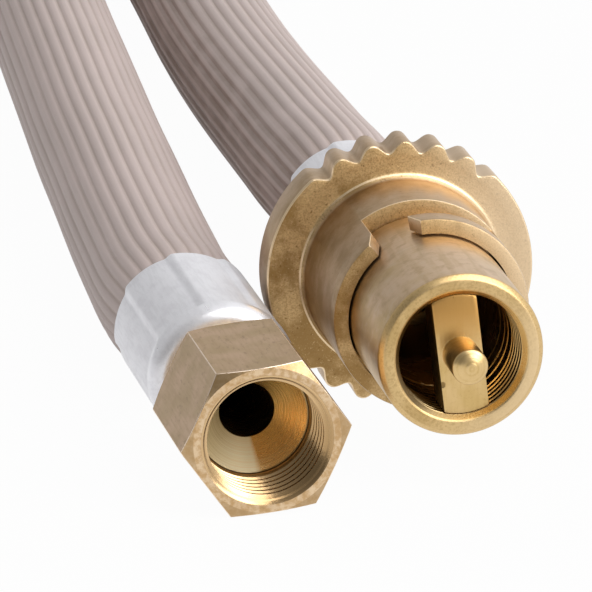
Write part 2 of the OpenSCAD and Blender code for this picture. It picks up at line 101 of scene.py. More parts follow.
class FinishColours(bpy.types.PropertyGroup):
    """Colours of the finishes."""

    nozzle: colour("Nozzle", "Satin turned brass of the nozzle", (0.61, 0.445, 0.26))
    rim: colour("Nozzle rim", "Sawn brass of the nozzle's mouth", (0.56, 0.39, 0.175))
    hub: colour("Collar hub", "Turned brass of the collar's sides", (0.52, 0.375, 0.225))
    cast: colour("Collar faces", "Sandy cast brass of the collar's flat faces", (0.56, 0.38, 0.175))
    nut: colour("Nut", "Drawn brass of the nut", (0.50, 0.362, 0.222))
    nut_end: colour("Nut end", "Pitted brass of the nut's front", (0.70, 0.525, 0.33))
    seat: colour("Seat", "Bright turned brass of the tails", (0.80, 0.60, 0.29))
    bridge: colour("Bridge", "Bright brass of the bar and its pin", (0.66, 0.465, 0.205))
    alloy: colour("Ferrule", "Matte alloy of the ferrules", (0.90, 0.895, 0.93))
    cover: colour("Hose cover", "Crests of the hose cover", (0.615, 0.509, 0.477))
    valley: colour("Hose valleys", "Valleys between the ribs", (0.515, 0.415, 0.372))
    strap: colour("Strap", "Woven strap", (0.018, 0.018, 0.021))


class StageSettings(bpy.types.PropertyGroup):
    """Camera and light."""

    lens: FloatProperty(name="Lens", description="Focal length, mm", default=372.875)
    azimuth: FloatProperty(
        name="Azimuth", description="Turn of the view", default=math.radians(-11.24), subtype="ANGLE"
    )
    elevation: FloatProperty(
        name="Elevation", description="Height of the view", default=math.radians(17.12), subtype="ANGLE"
    )
    key: FloatProperty(name="Key light", description="Radiance of the lamp above", default=2.6)
    side: FloatProperty(name="Side light", description="Radiance of the lamp on the right", default=3.2)
    fill: FloatProperty(name="Fill light", description="Level of the light all round", default=0.5)


def both_ways(operation):
    """An operator's two forms, with the socket on its left and on its right."""

    def left(self, other):
        return self.math(operation, self, other)

    def right(self, other):
        return self.math(operation, other, self)

    return left, right


class Field:
    """A socket of a node tree. Arithmetic on it adds Math nodes."""

    def __init__(self, nodes, socket):
        self.nodes = nodes
        self.socket = socket

    def math(self, operation, first, second):
        """Adds a Math node."""
        return self.nodes.node("ShaderNodeMath", {"operation": operation}, {0: first, 1: second})

    __add__, __radd__ = both_ways("ADD")
    __sub__, __rsub__ = both_ways("SUBTRACT")
    __mul__, __rmul__ = both_ways("MULTIPLY")
    __truediv__, __rtruediv__ = both_ways("DIVIDE")
    __pow__, __rpow__ = both_ways("POWER")

    def __abs__(self):
        return self.math("ABSOLUTE", self, 0.0)


class Nodes:
    """A node tree that is filled from expressions."""

    def __init__(self, tree):
        self.tree = tree

    def node(self, kind, settings=None, sockets=None, output=0):
        """Adds a node: its settings first, then the values or links of its sockets."""
        made = self.tree.nodes.new(kind)
        for name, value in (settings or {}).items():
            setattr(made, name, value)
        self.feed(made, sockets or {})
        return Field(self, made.outputs[output])

    def feed(self, made, sockets):
        """Sets or links the sockets of a node."""
        for name, value in sockets.items():
            if isinstance(value, Field):
                self.tree.links.new(value.socket, made.inputs[name])
            elif made.inputs[name].type == "RGBA":
                made.inputs[name].default_value = (*value, 1.0)
            else:
                made.inputs[name].default_value = value

    def axis(self, place):
        """Object coordinates in millimetres, measured from a turning axis along Y."""
        spot = self.node("ShaderNodeTexCoord", output="Object")
        return self.node(
            "ShaderNodeMapping",
            {"vector_type": "TEXTURE"},
            {
                "Vector": spot,
                "Location": place.translation,
                "Rotation": place.to_euler(),
                "Scale": (MM, MM, MM),
            },
        )

    def attribute(self, name, output):
        return self.node("ShaderNodeAttribute", {"attribute_name": name}, output=output)

    def parts(self, vector):
        """The three parts of a vector."""
        split = self.node("ShaderNodeSeparateXYZ", sockets={0: vector})
        return [Field(self, socket) for socket in split.socket.node.outputs]

    def vector(self, x, y, z):
        return self.node("ShaderNodeCombineXYZ", sockets={0: x, 1: y, 2: z})

    def scaled(self, vector, by):
        return self.node("ShaderNodeVectorMath", {"operation": "MULTIPLY"}, {0: vector, 1: by})

    def noise(self, vector, scale, detail=2.0, rough=0.5):
        return self.node(
            "ShaderNodeTexNoise",
            sockets={"Vector": vector, "Scale": scale, "Detail": detail, "Roughness": rough},
        )

    def rise(self, value, low, high):
        """0 at low, 1 at high, smooth between. It falls where low is the larger."""
        return self.node(
            "ShaderNodeMapRange",
            {"interpolation_type": "SMOOTHSTEP"},
            {"Value": value, "From Min": low, "From Max": high},
        )

    def mix(self, share, first, second):
        """A blend of two colours, which are sockets 6 and 7 of the node."""
        return self.node(
            "ShaderNodeMix",
            {"data_type": "RGBA", "blend_type": "MIX"},
            {0: share, 6: first, 7: second},
            output=2,
        )

    def bump(self, height, depth):
        """A normal from a height, whose full range is depth millimetres."""
        return self.node(
            "ShaderNodeBump", sockets={"Height": height, "Distance": depth * MM, "Strength": 1.0}
        )


class Finish(Nodes):
    """A procedural material."""

    def __init__(self, name, place=BAYONET):
        self.material = bpy.data.materials.new(name)
        self.material.use_nodes = True
        super().__init__(self.material.node_tree)
        self.shader = self.tree.nodes["Principled BSDF"]
        self.spot = self.axis(place)
        self.across, self.along, self.up = self.parts(self.spot)
        self.radius = (self.across * self.across + self.up * self.up) ** 0.5

    def turned(self, scale, detail=2.0):
        """Fine lines that run round the axis."""
        return self.noise(self.vector(self.radius, self.along, 0.0), scale, detail)

    def facing(self):
        """How far a face looks along the axis: 1 for a flat end, 0 for a turned side."""
        normal = self.node("ShaderNodeTexCoord", output="Normal")
        return abs(self.parts(normal)[1])

    def mottle(self, scale, detail=2.0, rough=0.5, weights=None):
        """Noise over the piece, drawn out along an axis that has less weight."""
        spot = self.scaled(self.spot, weights) if weights else self.spot
        return self.noise(spot, scale, detail, rough)

    def lay(self):
        """Millimetres across, over and along the hose, as its attribute holds them."""
        return self.scaled(self.attribute("lay", "Vector"), (1 / MM, 1 / MM, 1 / MM))

    def coated(self, tone, base, *coats):
        """Lays tints of a base colour over a tone.

        Each coat is a value, the levels between which the coat rises, its strength and its tint.
        """
        for value, low, high, strength, tint in coats:
            tone = self.mix(self.rise(value, low, high) * strength, tone, tinted(base, *tint))
        return tone

    def done(self, **sockets):
        """Feeds the shader's sockets, named with underscores for blanks."""
        self.feed(self.shader, {name.replace("_", " "): value for name, value in sockets.items()})
        return self.material


def tinted(base, red, green, blue):
    """A colour whose three parts are made stronger or weaker."""
    return (min(1.0, base[0] * red), min(1.0, base[1] * green), min(1.0, base[2] * blue))


def shade(base, by):
    """A colour made lighter or darker."""
    return tinted(base, by, by, by)


def nozzle_finish(base, rim):
    """Satin turned brass, with a sawn golden rim between two bright bevels, a painted highlight on its top
    and on the rim's right and bottom, and painted shade in the bore.
    """
    brass = Finish("nozzle_brass")
    facing = brass.facing()
    flat = brass.rise(facing, 0.84, 0.96)
    bevel = brass.rise(facing, 0.30, 0.55) * (1.0 - flat)
    # Where the bore is, which is painted dark as shade below.
    bore = brass.rise(brass.radius, 10.0, 9.85) * (1.0 - flat)
    lines = brass.turned(3.2, 3.0)
    cloud = brass.mottle(0.13, 3.0)
    smear = brass.mottle(0.55, 4.0, weights=(1.0, 0.12, 1.0))
    grain = brass.mottle(3.0, 3.0, 0.6)
    stain = brass.mottle(0.42, 5.0, 0.65)
    side = brass.coated(
        tinted(base, 0.90, 0.87, 0.70), base,
        # Paler in random clouds, and paler towards the top as a painted highlight.
        (cloud * 0.6 + brass.up * 0.018, 0.30, 0.56, 1.0, (1.12, 1.13, 1.30)),
        (smear, 0.46, 0.66, 0.45, (0.78, 0.73, 0.60)),
        (stain, 0.50, 0.66, 0.45, (0.70, 0.64, 0.56)),
        (stain, 0.48, 0.34, 0.45, (1.10, 1.17, 1.40)),
        (lines, 0.42, 0.74, 0.25, (0.72, 0.66, 0.54)),
    )
    face = brass.coated(
        tinted(rim, 0.98, 0.96, 0.90), rim,
        (cloud, 0.40, 0.62, 1.0, (1.22, 1.24, 1.30)),
        (grain, 0.44, 0.66, 0.40, (0.60, 0.52, 0.38)),
        (lines, 0.48, 0.66, 0.65, (1.36, 1.42, 1.60)),
        # Painted highlight: the rim's face turns paler towards the right and the bottom.
        (brass.across - brass.up * 0.5, 0.0, 15.0, 0.72, (1.50, 1.64, 2.20)),
    )
    edge = brass.coated(
        tinted(rim, 1.28, 1.30, 1.36), rim, (grain, 0.50, 0.64, 0.40, (0.84, 0.78, 0.66))
    )
    # Painted shade: the bore is dark, with painted light lifting it towards the right.
    inside = brass.coated(
        tinted(rim, 0.42, 0.44, 0.50), rim, (brass.across, -7.0, 7.0, 1.0, (1.10, 1.00, 0.80))
    )
    return brass.done(
        Base_Color=brass.mix(flat, brass.mix(bore, brass.mix(bevel, side, edge), inside), face),
        Metallic=1.0,
        Roughness=0.27 + cloud * 0.12 + lines * 0.06 - bore * 0.10 + flat * 0.04,
        Normal=brass.bump(lines * (0.6 + flat * 0.8) + grain * (0.15 + flat * 0.5 + bevel * 0.5), 0.024),
    )


def collar_finish(base, cast):
    """Cast brass: sandy on flat faces, smoother and pinker where turned, bright on rubbed edges and on a
    painted highlight along the fillet's top, darker to the left and bottom with dirt and painted shade, and
    paler to the right with painted light.
    """
    brass = Finish("collar_brass")
    flat = brass.rise(brass.facing(), 0.45, 0.85)
    lines = brass.turned(2.4, 3.0)
    grain = brass.mottle(4.0, 3.0, 0.65)
    cloud = brass.mottle(0.16, 5.0, 0.6)
    pit = brass.mottle(1.7, 3.0, 0.6)
    stain = brass.mottle(0.42, 5.0, 0.65)
    rubbed_and_sheen = brass.attribute("rubbed_and_sheen", "Fac")
    # Dirt in random clouds, with painted shade that darkens it towards the left and the bottom.
    dirt_and_shade = cloud - brass.across * 0.006 - brass.up * 0.004
    side = brass.coated(
        tinted(base, 1.00, 0.99, 1.04), base,
        (dirt_and_shade, 0.44, 0.68, 0.80, (0.74, 0.70, 0.60)),
        (lines, 0.42, 0.72, 0.25, (0.70, 0.63, 0.54)),
        (pit, 0.60, 0.72, 0.40, (0.56, 0.48, 0.38)),
        (stain, 0.50, 0.66, 0.35, (0.70, 0.60, 0.46)),
        (stain, 0.48, 0.34, 0.45, (1.10, 1.14, 1.30)),
    )
    face = brass.coated(
        tinted(cast, 1.14, 1.16, 1.24), cast,
        (dirt_and_shade, 0.44, 0.68, 1.0, (0.62, 0.56, 0.46)),
        (grain, 0.46, 0.62, 0.50, (0.62, 0.54, 0.42)),
        (pit, 0.60, 0.70, 0.75, (0.40, 0.33, 0.24)),
        (grain, 0.40, 0.28, 0.70, (1.42, 1.50, 1.75)),
    )
    tone = brass.coated(
        brass.mix(flat, side, face), cast,
        # Painted light: paler towards the right.
        (brass.across, -3.0, 18.0, 0.62, (1.40, 1.64, 2.50)),
        # Rubbed edges, and a painted highlight along the fillet's top, are paler.
        (cloud, 0.30, 0.50, rubbed_and_sheen * 0.85, (1.60, 1.84, 2.60)),
    )
    return brass.done(
        Base_Color=tone,
        Metallic=1.0,
        Roughness=0.34 + flat * 0.06 + grain * 0.10 - rubbed_and_sheen * 0.10,
        Normal=brass.bump(flat * grain + (1.0 - flat) * (lines * 0.35 + grain * 0.25), 0.04),
    )


def nut_finish(base, ring):
    """Drawn brass: matte streaked flats, a paler pitted end, bright edges that are rubbed and carry a painted
    highlight, and painted shade on the lower right of the bore.
    """
    brass = Finish("nut_brass", FLARE)
    facing = brass.facing()
    flat = brass.rise(facing, 0.80, 0.88)
    inner = brass.rise(brass.radius, 9.95, 9.75)
    streak = brass.mottle(2.2, 3.0, weights=(1.0, 0.07, 1.0))
    speckle = brass.mottle(1.5, 4.0, 0.7, weights=(1.0, 0.35, 1.0))
    cloud = brass.mottle(0.17, 4.0)
    fleck = brass.mottle(0.8, 5.0, 0.7)
    rubbed_and_sheen = brass.attribute("rubbed_and_sheen", "Fac")
    lines = brass.turned(3.0, 3.0)
    # Painted shade: the bore turns darker towards its lower right.
    painted_bore_shade = (brass.across * 0.8 - brass.up * 0.6) / brass.radius
    flank = brass.coated(
        tinted(base, 0.90, 0.88, 0.78), base,
        (cloud, 0.36, 0.66, 1.0, (1.08, 1.04, 1.08)),
        (streak, 0.42, 0.74, 0.30, (0.74, 0.68, 0.60)),
        (speckle, 0.54, 0.70, 0.55, (0.56, 0.50, 0.44)),
    )
    end = brass.coated(
        tinted(ring, 1.12, 1.12, 1.14), ring,
        (fleck, 0.40, 0.60, 1.0, (0.84, 0.73, 0.58)),
        (fleck, 0.60, 0.72, 0.70, (0.50, 0.42, 0.32)),
        (cloud, 0.46, 0.62, 0.28, (0.74, 0.60, 0.42)),
        (facing, 0.96, 0.93, 0.70, (0.62, 0.54, 0.42)),
    )
    bore = brass.coated(
        tinted(ring, 1.00, 0.92, 0.78), ring,
        (lines, 0.40, 0.70, 0.50, (0.66, 0.56, 0.38)),
        # Painted shade on the bore's lower right.
        (painted_bore_shade, 0.10, 0.90, 0.60, (0.50, 0.41, 0.28)),
    )
    tone = brass.coated(
        brass.mix(inner, brass.mix(flat, flank, end), bore), ring,
        # Paler edges: partly rubbed, partly a painted highlight along them.
        (fleck, 0.30, 0.50, rubbed_and_sheen * 0.85, (1.40, 1.56, 2.00)),
    )
    height = (1.0 - flat) * (streak * 0.6 + speckle * 0.4) + flat * fleck + inner * lines
    return brass.done(
        Base_Color=tone,
        Metallic=1.0,
        Roughness=0.40 - flat * 0.12 - inner * 0.14 + streak * 0.08 - rubbed_and_sheen * 0.1,
        Normal=brass.bump(height, 0.022),
    )


def seat_finish(base, name, place):
    """Bright turned brass with lathe lines, a painted highlight in a pale sector on the lower left, and
    painted shade on the lower right.
    """
    brass = Finish(name, place)
    lines = brass.turned(13.0, 1.0)
    cloud = brass.mottle(0.22, 2.0)
    # Painted highlight: a pale sector on the lower left of the seat, not in the bore, made less metallic so
    # that it stays pale.
    painted_highlight_sector = brass.rise((brass.across * -0.78 - brass.up * 0.63) / brass.radius, 0.46, 0.60)
    painted_highlight_sector = painted_highlight_sector * brass.rise(brass.facing(), 0.2, 0.4)
    # Painted shade on the lower right.
    low = (brass.across * 0.5 - brass.up * 0.87) / brass.radius
    cut = brass.rise(lines, 0.35, 0.72)
    tone = brass.coated(
        brass.mix(cut * 0.45, base, tinted(base, 0.82, 0.74, 0.58)), base,
        (cloud, 0.40, 0.70, 0.35, (1.06, 1.04, 1.10)),
        # Painted shade, darker towards the lower right.
        (low, 0.45, 0.95, 0.35, (0.60, 0.57, 0.48)),
    )
    # Colours of the painted highlight: deeper gold at its far left, cream towards the bottom.
    left = brass.mix(cut, (0.76, 0.61, 0.34), (0.56, 0.43, 0.20))
    pale = brass.mix(cut, (1.0, 0.91, 0.62), (0.96, 0.75, 0.40))
    pale = brass.mix(brass.rise(brass.across / brass.radius, -0.98, -0.2), left, pale)
    return brass.done(
        Base_Color=brass.mix(painted_highlight_sector, tone, pale),
        Metallic=1.0 - painted_highlight_sector * 0.8,
        Roughness=0.22 + lines * 0.10 + painted_highlight_sector * 0.1,
        Normal=brass.bump(lines, 0.016),
    )


def bridge_finish(base):
    """Bright brass of the bar and pin, with lathe rings on the pin, a punch mark on the bar, and painted
    reflection and shade that darken the bar towards its top.
    """
    brass = Finish("bridge_brass")
    mark = (-2.65, -19.5, -4.6)
    rings = brass.turned(3.4, 2.0)
    pin = brass.rise(brass.radius, 2.9, 2.7)
    brushed = brass.mottle(3.0, 2.0, weights=(1.0, 1.0, 0.08))
    grain = brass.mottle(3.4, 3.0, 0.6)
    cloud = brass.mottle(0.3, 2.0)
    off = brass.node(
        "ShaderNodeVectorMath", {"operation": "DISTANCE"}, {0: brass.spot, 1: mark}, output="Value"
    )
    punch = brass.rise(off, 0.56, 0.28)
    tone = brass.coated(
        tinted(base, 0.96, 0.94, 0.86), base,
        (cloud, 0.36, 0.68, 1.0, (1.08, 1.08, 1.14)),
        (brushed, 0.40, 0.75, 0.25, (0.80, 0.74, 0.62)),
        (grain, 0.56, 0.70, 0.35, (0.66, 0.58, 0.46)),
        (rings, 0.36, 0.60, pin * 0.6, (1.16, 1.18, 1.30)),
        # Painted reflection and shade: the bar turns darker and more orange towards its top.
        (brass.up, -1.0, 7.0, 1.0 - pin, (0.90, 0.70, 0.48)),
    )
    return brass.done(
        Base_Color=brass.mix(punch * 0.85, tone, tinted(base, 0.30, 0.26, 0.20)),
        Metallic=1.0,
        Roughness=0.24 + brushed * 0.12,
        Normal=brass.bump(pin * rings + (1.0 - pin) * (brushed * 0.3 + grain * 0.2) - punch * 2.0, 0.045),
    )


def alloy_finish(base, name, place):
    """Matte crimped alloy with fine scratches along it, and a smooth front edge."""
    alloy = Finish(name, place)
    scratch = alloy.mottle(2.2, 3.0, 0.6, weights=(1.0, 0.10, 1.0))
    fine = alloy.mottle(3.0, 3.0, 0.6)
    cloud = alloy.mottle(0.35, 4.0, 0.6, weights=(1.0, 0.5, 1.0))
    front = alloy.rise(alloy.along, 3.6, 2.4)
    tone = alloy.coated(
        base, base,
        (scratch, 0.46, 0.66, 0.30, (0.80, 0.80, 0.80)),
        (cloud, 0.44, 0.66, 0.45, (0.84, 0.83, 0.84)),
        (fine, 0.60, 0.72, 0.25, (0.66, 0.66, 0.66)),
    )
    return alloy.done(
        Base_Color=tone,
        Metallic=0.6,
        Roughness=0.46 + cloud * 0.10 - front * 0.22,
        Normal=alloy.bump(scratch * 0.6 + fine * 0.4, 0.025),
    )


def cover_finish(crest, valley):
    """Ribbed hose cover: paler crests, valleys darker with dirt and painted shade, streaks along it, and
    painted shade on one side of the bayonet run.
    """
    cover = Finish("hose_cover")
    lay = cover.lay()
    side, _, far = cover.parts(lay)
    rib = cover.attribute("rib", "Fac")
    streak = cover.noise(cover.scaled(lay, (1.0, 1.0, 0.03)), 1.3, 3.0)
    cloud = cover.noise(cover.scaled(lay, (1.0, 1.0, 0.4)), 0.16, 3.0)
    dust = cover.noise(lay, 1.9, 2.0)
    # Painted shade on the side of the bayonet run that faces the other run, most of it in the valleys.
    painted_side_shade = cover.rise(far, 850.0, 950.0) * (1.0 - cover.rise(rib, 0.45, 0.95) * 0.6)
    tone = cover.coated(
        # The valleys are darker: dirt, and painted shade in the creases.
        cover.mix(cover.rise(rib, 0.02, 0.42), valley, crest), crest,
        (side, 3.0, 10.0, painted_side_shade, (0.48, 0.42, 0.37)),
        (streak, 0.40, 0.70, 0.20, (0.84, 0.84, 0.84)),
        (cloud, 0.36, 0.68, 0.30, (1.10, 1.08, 1.09)),
        (dust, 0.60, 0.80, 0.18, (1.10, 1.10, 1.12)),
    )
    return cover.done(
        Base_Color=tone,
        Roughness=0.50 + dust * 0.14,
        Specular_IOR_Level=0.42,
        Normal=cover.bump(streak * 0.6 + dust * 0.4, 0.05),
    )


def plain_finish(name, base, rough, grain, depth):
    """A moulded or rubber piece with a fine grain."""
    made = Finish(name)
    fine = made.mottle(grain, 3.0)
    cloud = made.mottle(0.2, 2.0)
    tone = made.coated(
        shade(base, 1.15), base,
        (fine, 0.35, 0.70, 0.50, (0.78, 0.78, 0.78)),
        (cloud, 0.40, 0.70, 0.30, (0.85, 0.85, 0.85)),
    )
    return made.done(Base_Color=tone, Roughness=rough + fine * 0.12, Normal=made.bump(fine, depth))


def clip_finish():
    """Phosphated spring steel."""
    steel = Finish("clip_steel")
    fine = steel.mottle(2.4, 3.0)
    tone = steel.mix(steel.rise(fine, 0.4, 0.66), (0.10, 0.10, 0.105), (0.17, 0.17, 0.18))
    return steel.done(
        Base_Color=tone, Metallic=0.9, Roughness=0.44 + fine * 0.12, Normal=steel.bump(fine, 0.02)
    )


def yarn_finish():
    """Crossed yarns of the reinforcing braid."""
    yarn = Finish("braid_yarn")
    across, over, along = yarn.parts(yarn.lay())
    turn = yarn.node("ShaderNodeMath", {"operation": "ARCTAN2"}, {0: over, 1: across}) * 8.0
    left = yarn.node("ShaderNodeMath", {"operation": "SINE"}, {0: turn + along * 1.1})
    right = yarn.node("ShaderNodeMath", {"operation": "SINE"}, {0: turn - along * 1.1})
    weave = left * right * 0.5 + 0.5
    tone = yarn.mix(yarn.rise(weave, 0.2, 0.8), (0.42, 0.38, 0.30), (0.72, 0.68, 0.58))
    return yarn.done(Base_Color=tone, Roughness=0.75, Normal=yarn.bump(weave, 0.2))


def strap_finish(base):
    """Woven hook-and-loop strap."""
    strap = Finish("tie_strap")
    warp = strap.node("ShaderNodeTexWave", {"bands_direction": "Y"}, {"Vector": strap.spot, "Scale": 0.55})
    weft = strap.mottle(1.6, 2.0, weights=(1.0, 0.25, 1.0))
    fuzz = strap.mottle(3.5, 3.0)
    weave = warp * 0.5 + weft * 0.5
    tone = strap.coated(
        shade(base, 0.6), base,
        (weave, 0.30, 0.75, 1.0, (1.90, 1.90, 1.90)),
        (fuzz, 0.55, 0.75, 0.40, (3.00, 3.00, 3.00)),
    )
    return strap.done(
        Base_Color=tone, Roughness=0.82 + fuzz * 0.1, Normal=strap.bump(weave * 0.7 + fuzz * 0.3, 0.12)
    )


def placed(name, data):
    """Adds an object to the scene."""
    made = bpy.data.objects.new(name, data)
    bpy.context.scene.collection.objects.link(made)
    return made


def mesh_of(name, bm):
    """Turns a shape into a mesh."""
    mesh = bpy.data.meshes.new(name)
    bm.to_mesh(mesh)
    bm.free()
    return mesh


def piece(name, bm, finish, body, slot, *nodes, sharp=SMOOTH_BELOW):
    """Makes a shape into an object, in place, that rides a body and stands for CAD nodes."""
    for face in bm.faces:
        face.smooth = True
    mesh = mesh_of(name, bm)
    mesh.set_sharp_from_angle(angle=sharp)
    mesh.materials.append(finish)
    made = placed(name, mesh)
    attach(made, body)
    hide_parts(*nodes)
    return made


def dress(node, finish):
    """Gives a carried-over CAD node its finish."""
    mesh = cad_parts[node].data
    mesh.materials.clear()
    mesh.materials.append(finish)


def outline(points):
    """A closed outline of (radius, distance) points, for turning about Y."""
    bm = bmesh.new()
    corners = [bm.verts.new((radius * MM, along * MM, 0)) for radius, along in points]
    for first, second in zip(corners, corners[1:] + corners[:1]):
        bm.edges.new((first, second))
    return bm, corners


def eased(bm, edges, size, segments=2, affect="EDGES"):
    """Rounds edges, and returns the new faces."""
    return bmesh.ops.bevel(
        bm,
        geom=edges,
        offset=size,
        segments=segments,
        profile=0.5,
        affect=affect,
        clamp_overlap=True,
        material=-1,
    )["faces"]


def rounded(bm, corners, size, segments=3):
    """Rounds some corners of an outline."""
    eased(bm, corners, size, segments, "VERTICES")


def spun(bm, steps):
    """Turns an outline about Y into a closed shape."""
    bmesh.ops.spin(
        bm,
        geom=bm.verts[:] + bm.edges[:],
        cent=(0, 0, 0),
        axis=(0, 1, 0),
        dvec=(0, 0, 0),
        angle=math.tau,
        steps=steps,
        use_merge=True,
        use_duplicate=False,
    )
    bmesh.ops.remove_doubles(bm, verts=bm.verts, dist=MERGE_BELOW * MM)
    bmesh.ops.recalc_face_normals(bm, faces=bm.faces)
    return bm


def only(kind, parts):
    """Those parts of a shape that are of one kind."""
    return [part for part in parts if isinstance(part, kind)]


def creases(bm, degrees):
    """The edges whose two faces turn by more than an angle."""
    least = math.radians(degrees)
    return [edge for edge in bm.edges if edge.is_manifold and edge.calc_face_angle() > least]


def from_axis(spot):
    """A point's distance from the Y axis, in millimetres."""
    return math.hypot(spot.x, spot.z) / MM


def about_axis(degrees):
    """A turn about the Y axis."""
    return Matrix.Rotation(math.radians(degrees), 3, "Y")


def clockwise(spot):
    """A point's angle clockwise from the top, seen from the front, in degrees."""
    return math.degrees(math.atan2(spot.x, spot.z))


def apart(first, second):
    """Difference of two angles, from -180 to 180."""
    return (first - second + 180) % 360 - 180


def soft_step(value, low, high):
    """0 below low, 1 above high, smooth between."""
    share = max(0.0, min(1.0, (value - low) / (high - low)))
    return share * share * (3 - 2 * share)


class StageOperator(bpy.types.Operator):
    """Makes the camera, floor and light"""

    bl_idname = "gas_hose.stage"
    bl_label = "Stage"

    CAMERA = (-190.76, -855.58, 272.95)
    SENSOR = 36
    # Metres: the camera's range of sight, and half the floor's width.
    CLIP_NEAR, CLIP_FAR = 0.05, 60
    FLOOR_HALF = 8

    def execute(self, context):
        settings = context.scene.gas_hose_stage
        context.scene.view_settings.view_transform = "Standard"
        camera = placed("camera", bpy.data.cameras.new("camera"))
        camera.location = Vector(self.CAMERA) * MM
        camera.rotation_euler = (math.pi / 2 - settings.elevation, 0, settings.azimuth)
        camera.data.sensor_width = self.SENSOR
        camera.data.lens = settings.lens
        camera.data.clip_start, camera.data.clip_end = self.CLIP_NEAR, self.CLIP_FAR
        context.scene.camera = camera
        self.floor()
        self.world(context, settings.fill)
        self.lamp("key_lamp", settings.key, way=(0.44, -0.46, 0.77), far=1.1, size=1.05)
        self.lamp("side_lamp", settings.side, way=(0.62, -0.70, 0.36), far=1.3, size=0.62)
        return {"FINISHED"}

    def floor(self):
        """A pale floor, which camera and gloss see as white."""
        bm = bmesh.new()
        bmesh.ops.create_grid(bm, x_segments=1, y_segments=1, size=self.FLOOR_HALF)
        bmesh.ops.translate(bm, verts=bm.verts, vec=(0, 0, FLOOR_Z * MM))
        floor = placed("floor", mesh_of("floor", bm))
        white = Finish("pale_floor")
        white.done(Base_Color=(0.62, 0.62, 0.62), Roughness=0.9, Specular_IOR_Level=0.1)
        camera, gloss, glass = self.rays(white)
        seen = white.rise(camera + gloss + glass, 0.0, 1.0)
        glow = white.node("ShaderNodeEmission", sockets={"Color": (1, 1, 1), "Strength": 1.0})
        matte = Field(white, white.shader.outputs[0])
        both = white.node("ShaderNodeMixShader", sockets={0: seen * 0.97, 1: matte, 2: glow})
        white.feed(white.tree.nodes["Material Output"], {"Surface": both})
        floor.data.materials.append(white.material)

    def rays(self, nodes):
        """1 for rays of the camera, of gloss and through glass, each by itself."""
        path = nodes.node("ShaderNodeLightPath").socket.node.outputs
        names = ("Is Camera Ray", "Is Glossy Ray", "Is Transmission Ray")
        return [Field(nodes, path[name]) for name in names]

    def world(self, context, fill):
        """A pale room that is dark round the camera and dim on the left, where gloss looks into it."""
        world = bpy.data.worlds.new("studio")
        world.use_nodes = True
        context.scene.world = world
        air = Nodes(world.node_tree)
        right, behind, up = air.parts(air.node("ShaderNodeTexCoord", output="Generated"))
        level = 0.19 + air.rise(behind, -0.80, 0.30) * 0.31 + air.rise(right, -0.60, 0.70) * 0.50
        room = air.mix(level, (0, 0, 0), (1, 1, 1))
        grey = (fill, fill, fill)
        low = air.mix(air.rise(up, 0.0, 0.9), shade(grey, 1.35), shade(grey, 0.6))
        camera, gloss, glass = self.rays(air)
        light = air.mix(gloss, low, room)
        light = air.mix(air.rise(camera + glass, 0.0, 1.0), light, (1, 1, 1))
        air.feed(world.node_tree.nodes["Background"], {"Color": light, "Strength": 1.0})

    def lamp(self, name, radiance, way, far, size):
        """A square soft lamp that looks at the fittings."""
        light = bpy.data.lights.new(name, "AREA")
        light.size = size
        light.energy = radiance * math.pi * size * size
        lamp = placed(name, light)
        lamp.location = Vector(way).normalized() * far
        lamp.rotation_euler = (-Vector(way)).to_track_quat("-Z", "Y").to_euler()


